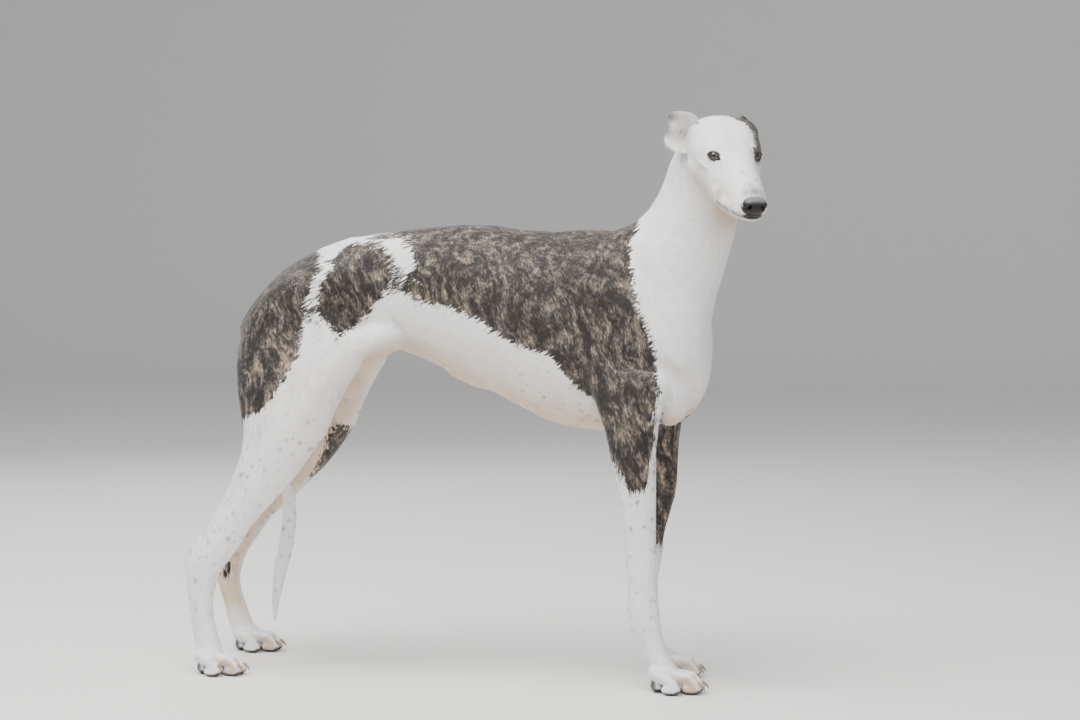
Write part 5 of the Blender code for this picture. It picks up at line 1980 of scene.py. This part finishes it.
def eye_material():
    material, tree, shader = start_material("eye_gloss", (0.05, 0.03, 0.02), 0.18)
    place = attribute(tree, "eye_place", "Vector")
    across, up, out = add_node(tree, "ShaderNodeSeparateXYZ", {0: place}).outputs
    squares = [maths(tree, "POWER", part, 2.0) for part in (across, up)]
    radius = maths(tree, "SQRT", plus(tree, *squares))
    angle = times(tree, maths(tree, "ARCTAN2", up, across), 9.0)
    spokes = add_node(tree, "ShaderNodeCombineXYZ", {0: angle, 1: times(tree, radius, 5.0)})
    inputs = {"Vector": spokes.outputs[0], "Scale": 1.0, "Detail": 3.0}
    fibre = add_node(tree, "ShaderNodeTexNoise", inputs).outputs["Fac"]
    iris = mix_colours(tree, fibre, (0.012, 0.007, 0.004), (0.062, 0.038, 0.020))
    iris = mix_colours(tree, soft_step(tree, radius, *IRIS_RING), iris, (0.010, 0.006, 0.005))
    front = mix_colours(tree, soft_step(tree, radius, *PUPIL_EDGE), (0.002, 0.002, 0.002), iris)
    white = soft_step(tree, radius, *WHITE_EDGE)
    white = mix_colours(tree, white, (0.045, 0.030, 0.025), (0.20, 0.15, 0.13))
    behind = maths(tree, "LESS_THAN", out, 0.0)
    behind = maths(tree, "MAXIMUM", soft_step(tree, radius, *IRIS_EDGE), behind)
    feed_all(tree, shader, {
        "Base Color": mix_colours(tree, behind, front, white),
        "Coat Weight": 1.0,
        "Coat Roughness": 0.03,
    })
    return material


shared_eye = eye_material()
for eye in eyeballs:
    eye.data.materials.append(shared_eye)
print("eye material ready")

# %% Lid rims, horn and bristle
# Name, light and dark colour, roughness, size of the patches, and relief.
LID_LOOK = ("lid_skin", (0.022, 0.018, 0.017), (0.010, 0.008, 0.008), 0.38, (0.002,) * 3, 0.4)
HORN_LOOK = (
    "pale_horn", (0.42, 0.345, 0.27), (0.17, 0.130, 0.10), 0.38, (0.006, 0.0012, 0.0012), 0.5,
)
BRISTLE_LOOK = ("bristle", (0.72, 0.70, 0.67), (0.50, 0.47, 0.44), 0.45, (0.003,) * 3, 0.2)


def mottled_material(name, light, dark, roughness, size, bump):
    """Two colours in soft patches, with a little relief."""
    material, tree, shader = start_material(name, light, roughness)
    patches = noise_along(tree, NO_TURN, size, 3.0)
    feed_all(tree, shader, {
        "Base Color": mix_colours(tree, soft_step(tree, patches, 0.35, 0.65), light, dark),
        "Roughness": plus(tree, times(tree, patches, 0.20), roughness - 0.10),
    })
    add_relief(tree, shader, patches, bump, 0.0003)
    return material


for made, look in ((lids, LID_LOOK), (claws, HORN_LOOK), (whiskers, BRISTLE_LOOK)):
    made.data.materials.append(mottled_material(*look))
print("small materials ready")

# %% [markdown]
# The ears read the same coat colours as the skin, so they get the same attributes.
# The right one is white with grey mottles at its folded tip, and painted near-black
# shade in the hollow of its fold; the left one is brindle, with a little white at its fold.

# %% Ear values
# Painted shade: the hollow in the right ear's fold, painted near black.
EAR_HOLLOW_SHADE = ((-0.0945, -0.0548, -0.0010), (0.0060, 0.0070, 0.0105))
EAR_MOTTLES = (
    ((-0.1045, -0.075, 0.0235), 0.01, 0.9), ((-0.105, -0.077, 0.001), 0.008, 0.8),
)
LEFT_EAR_FOLD = (-0.060, 0.0285, 0.0385)


def ear_value_set(places, side):
    """The coat's values for some places on an ear."""
    head = in_head(places)
    count = len(places)
    values = {
        "brindle": np.full(count, -0.05), "beige_and_shade": np.full(count, 0.12), "bare_and_shade": np.zeros(count),
        "grey": np.zeros(count), "tick": np.full(count, 0.35),
        "regions": np.tile(np.array((1.0, 0.0, 0.0)), (count, 1)),
    }
    if side < 0:
        # Painted shade in the right ear's fold, carried by the mask of bare skin.
        values["bare_and_shade"] = 0.92 * (1.0 - step_share(gap_to(head, *EAR_HOLLOW_SHADE), 0.45, 1.0))
        values["grey"] = spots(head, EAR_MOTTLES)
    else:
        fold = gap_to(head, LEFT_EAR_FOLD)
        values["beige_and_shade"] = 0.12 + 0.8 * bell(fold / 0.006)
        values["brindle"] = np.where(fold < 0.0050, -0.02, 0.02)
    return values


def ear_values(made, side):
    values = ear_value_set(surface(made)[0], side)
    for name, column in values.items():
        store(made.data, name, column)
    made.data.materials.append(skin_material)
    return float(values["bare_and_shade"].max())


print("ear hollows:", [round(ear_values(ear, side), 2) for ear, side in zip(ears, (-1, 1))])
skin.data.materials.clear()
skin.data.materials.append(skin_material)

# %% [markdown]
# ## The coat's hair
#
# A short coat shows as hair only where the form turns away: a soft fringe along the
# outline, the ruff behind the thighs, and the edges of the ears. Strand systems don't
# leave Blender well, so each tuft is a thin blade of three triangles. Its root sits
# in the skin, and the blade lies along the hair direction and lifts by less than the
# coat's depth. Roots are spread evenly over the skin with a fixed seed, denser and
# smaller on the head and the feet.

# %% Tuft roots
TUFT_COUNT = 150000
EAR_TUFT_COUNT = TUFT_COUNT // 40
SOLE_HEIGHT = 0.0035
MOST_BARE = 0.30
rng = np.random.default_rng(7)


def triangle_corners(mesh):
    """Vertex numbers of every triangle of a mesh."""
    mesh.calc_loop_triangles()
    corners = np.empty(len(mesh.loop_triangles) * 3, dtype=np.int64)
    mesh.loop_triangles.foreach_get("vertices", corners)
    return corners.reshape(-1, 3)


def tuft_density(places):
    """Tufts for each area, relative to the flank."""
    head = head_share(places)
    feet = 1.0 - step_share(places[:, 2], 0.060, 0.130)
    return 1.0 + 3.2 * head + 1.6 * feet + 0.7 * leg_share(places)


def spread_roots(made, count):
    """Seeded random points on the skin, with the skin's normal there."""
    corners = triangle_corners(made.data)
    places, normals = surface(made)
    a, b, c = (places[column] for column in corners.T)
    area = 0.5 * np.linalg.norm(np.cross(b - a, c - a), axis=1)
    weight = area * tuft_density((a + b + c) / 3.0)
    picked = rng.choice(len(corners), size=count, p=weight / weight.sum())
    first = np.sqrt(rng.random(count))
    second = rng.random(count)
    shares = np.stack([1.0 - first, first * (1.0 - second), first * second], axis=1)[:, :, None]
    roots = (places[corners[picked]] * shares).sum(axis=1)
    ups = (normals[corners[picked]] * shares).sum(axis=1)
    ups /= np.maximum(np.linalg.norm(ups, axis=1), 1e-6)[:, None]
    return roots, ups


def covered(made, count):
    """The roots that are left without bare skin, the soles and the eye sockets."""
    roots, ups = spread_roots(made, count)
    bare_and_shade = np.maximum(dark_share(roots), pad_share(roots, ups))
    kept = (bare_and_shade < MOST_BARE) & (roots[:, 2] > SOLE_HEIGHT)
    return roots[kept], ups[kept]


sources = [covered(skin, TUFT_COUNT)] + [covered(ear, EAR_TUFT_COUNT) for ear in ears]
roots = np.concatenate([places for places, normals in sources])
ups = np.concatenate([normals for places, normals in sources])
grown_on = np.repeat((0, -1, 1), [len(places) for places, normals in sources])
print("tufts:", len(roots), "of them on the ears:", int((grown_on != 0).sum()))

# %% [markdown]
# A tuft is longest on the back of the thighs, and shortest on the face and the feet.
# The blades get the skin's own normals, so that they are lit as
# the skin under them is and don't sparkle.

# %% Blade shapes
BLADE_LENGTH = 7.5 * MM
BLADE_WIDTH = 0.65 * MM
BLADE_LIFT = 0.78 * MM
BLADE_DEPTH = 0.25 * MM
BLADE_SPREAD = 0.22


def blade_lengths(places):
    """How long the blade at each root is, before a little chance is added."""
    feet = 1.0 - step_share(places[:, 2], 0.050, 0.130)
    thigh = bell((places[:, 0] + 0.60) / 0.06, (places[:, 2] - 0.46) / 0.12)
    length = BLADE_LENGTH * (1.0 - 0.50 * head_share(places)) * (1.0 - 0.50 * feet)
    length = length * (1.0 - 0.20 * leg_share(places)) * (1.0 + 0.45 * thigh)
    return length * np.where(grown_on == 0, 1.0, 0.8)


def blade_points(roots, ups):
    """Five points of every blade: two at its root, two at its middle and its tip."""
    ways = hair_direction(roots, ups)
    across = np.cross(ups, ways)
    turn = rng.normal(0.0, BLADE_SPREAD, len(roots))[:, None]
    ways = ways * np.cos(turn) + across * np.sin(turn)
    across = np.cross(ups, ways)
    length = (blade_lengths(roots) * rng.uniform(0.7, 1.2, len(roots)))[:, None]
    width = BLADE_WIDTH * (length / BLADE_LENGTH) * rng.uniform(0.7, 1.2, len(roots))[:, None]
    lift = (BLADE_LIFT * rng.uniform(0.55, 1.0, len(roots)))[:, None]
    start = roots - ups * BLADE_DEPTH
    middle = roots + ways * length * 0.45 + ups * lift * 0.72
    tip = roots + ways * length * 0.98 + ups * lift
    points = np.stack([
        start - across * width * 0.5, start + across * width * 0.5,
        middle - across * width * 0.42, middle + across * width * 0.42, tip,
    ], axis=1)
    return points, ways


BLADE_FACES = np.array(((0, 3, 1), (0, 2, 3), (2, 4, 3)))
points, ways = blade_points(roots, ups)
print("blade points:", points.shape)

# %% [markdown]
# Each blade owns a small patch of a map, at its root's place on an unwrap of the
# skin: along the limb one way, and round it the other way, with a tile for each limb.

# %% Map of the skin
MAP_COLUMNS = 4
MAP_ROWS = 2
LIMBS = ("head", "neck", "trunk", "tail", "fore_right", "fore_left", "hind_right", "hind_left")
HEAD_TILE, NECK_TILE, TRUNK_TILE, TAIL_TILE = range(MAP_COLUMNS)
TILE_MARGIN = 0.02
MAP_PATCH = 0.003
LIMB_TOP = 0.46


def limb_of(places):
    """The limb of every place, as a number into LIMBS."""
    limb = np.full(len(places), TRUNK_TILE)
    limb[neck_share(places) > 0.5] = NECK_TILE
    limb[head_share(places) > 0.5] = HEAD_TILE
    low = places[:, 2] < LIMB_TOP
    hind = places[:, 0] <= -0.20
    left = places[:, 1] >= 0.0
    limb[low] = (LIMBS.index("fore_right") + 2 * hind + left)[low]
    line = [Vector((x, 0.0, z)) for x, z, radius in TAIL]
    limb[(path_distance(places, line) < 0.022) & (places[:, 0] < -0.50)] = TAIL_TILE
    limb[grown_on != 0] = HEAD_TILE
    return limb


def map_places(places, ups, limb):
    """Where every root lies on the map, from 0 to 1."""
    head = in_head(places)
    head_ups = ups @ np.array(head_matrix().inverted().to_3x3()).T
    along = places[:, 2] / LIMB_TOP
    angle = np.arctan2(ups[:, 1], ups[:, 0])
    for tile, tile_along, tile_ups in (
        (TRUNK_TILE, (places[:, 0] + 0.64) / 0.84, ups),
        (TAIL_TILE, places[:, 2] / 0.60, None),
        (NECK_TILE, (places[:, 2] - 0.55) / 0.36, None),
        (HEAD_TILE, (head[:, 0] + 0.11) / 0.25, head_ups),
    ):
        along = np.where(limb == tile, tile_along, along)
        if tile_ups is not None:
            angle = np.where(limb == tile, np.arctan2(tile_ups[:, 1], tile_ups[:, 2]), angle)
    around = (angle / (2.0 * math.pi) + 0.5) % 1.0
    inner = np.stack([around, np.clip(along, 0.0, 1.0)], axis=1)
    inner = TILE_MARGIN + (1.0 - 2.0 * TILE_MARGIN) * inner
    tiles = np.stack([limb % MAP_COLUMNS, limb // MAP_COLUMNS], axis=1)
    return (tiles + inner) / np.array((MAP_COLUMNS, MAP_ROWS))


PATCH_CORNERS = np.array(((0.0, 0.0), (1.0, 0.0), (0.0, 0.5), (1.0, 0.5), (0.5, 1.0))) - 0.5
limbs = limb_of(roots)
tile_places = map_places(roots, ups, limbs)
print("roots on each tile:", dict(zip(LIMBS, np.bincount(limbs, minlength=len(LIMBS)).tolist())))

# %% [markdown]
# The blades are gathered into a few objects, one for each part of the body, so that
# none is too heavy. Their faces come from arrays, as there are far too many to make
# one by one.

# %% Coat pieces
BLADE_POINTS = 5
CHEST_END = -0.22


def coat_piece(name, chosen):
    """One object with all the blades of one part of the body."""
    own = points[chosen]
    firsts = np.arange(len(own)) * BLADE_POINTS
    faces = (firsts[:, None, None] + BLADE_FACES[None]).reshape(-1, 3)
    mesh = bpy.data.meshes.new(name)
    mesh.vertices.add(len(own) * BLADE_POINTS)
    mesh.vertices.foreach_set("co", own.astype(np.float32).ravel())
    mesh.loops.add(faces.size)
    mesh.loops.foreach_set("vertex_index", faces.ravel())
    mesh.polygons.add(len(faces))
    mesh.polygons.foreach_set("loop_start", np.arange(0, faces.size, 3))
    mesh.update(calc_edges=True)
    mesh.shade_smooth()
    layer = mesh.uv_layers.new(name="OFBake")
    corners = tile_places[chosen][:, None, :] + PATCH_CORNERS[None] * MAP_PATCH
    corners = corners.reshape(-1, 2)[faces.ravel()]
    layer.data.foreach_set("uv", corners.astype(np.float32).ravel())
    for label, values in blade_values.items():
        store(mesh, label, np.repeat(values[chosen], BLADE_POINTS, axis=0))
    leaning = ups[chosen] * 0.96 + ways[chosen] * 0.10
    leaning /= np.linalg.norm(leaning, axis=1)[:, None]
    leaning = np.repeat(leaning, BLADE_POINTS, axis=0)
    mesh.normals_split_custom_set_from_vertices(leaning.tolist())
    mesh.validate()
    made = bpy.data.objects.new(name, mesh)
    bpy.context.collection.objects.link(made)
    mesh.materials.append(tuft_material)
    return made


def values_on_all():
    """The coat's values at every root: the skin's, or the ear's where an ear grows it."""
    values = skin_values(roots, ups)
    for side in (-1, 1):
        own = grown_on == side
        for label, column in ear_value_set(roots[own], side).items():
            values[label][own] = column
    return values


blade_values = values_on_all()
on_trunk = limbs == TRUNK_TILE
on_chest = roots[:, 0] > CHEST_END
coat_groups = {
    "coat_head": (limbs == HEAD_TILE) & (grown_on == 0),
    "coat_neck": limbs == NECK_TILE,
    "coat_ears": grown_on != 0,
    "coat_chest": on_trunk & on_chest,
    "coat_loin": on_trunk & ~on_chest,
    "coat_forelegs": np.isin(limbs, (LIMBS.index("fore_right"), LIMBS.index("fore_left"))),
    "coat_hindlegs": np.isin(limbs, (LIMBS.index("hind_right"), LIMBS.index("hind_left"))),
    "coat_tail": limbs == TAIL_TILE,
}
coat = [coat_piece(name, chosen) for name, chosen in coat_groups.items()]
print("coat:", {piece.name: len(piece.data.polygons) for piece in coat})

# %% [markdown]
# ## Setting the dog down
#
# Everything above was made in the dog's own frame, with the withers over the origin.
# One move centres it, as the solids are centred. Each piece then rides on the body
# and stands for the solids whose place it takes.

# %% Place and ride
def settle(made, body="root"):
    """Move a piece's mesh to the solids' frame and let it ride on the body."""
    made.data.transform(Matrix.Translation(CENTRE))
    made.data.update()
    made.data.shade_smooth()
    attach(made, body)


FLESH = [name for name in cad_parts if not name.startswith(("ear_", "eye_", "nose"))]
settle(skin)
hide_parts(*FLESH)
settle(nose)
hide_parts("nose")
for eye, node in zip(eyeballs, ("eye_right", "eye_left")):
    settle(eye)
    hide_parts(node)
for ear, node, slot in zip(ears, ("ear_right", "ear_left"), ("white_coat", "brindle_coat")):
    settle(ear)
    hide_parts(node)
for made, slot in ((lids, "nose_leather"), (claws, "white_coat"), (whiskers, "white_coat")):
    settle(made)
for piece in coat:
    settle(piece)
print("pieces placed")
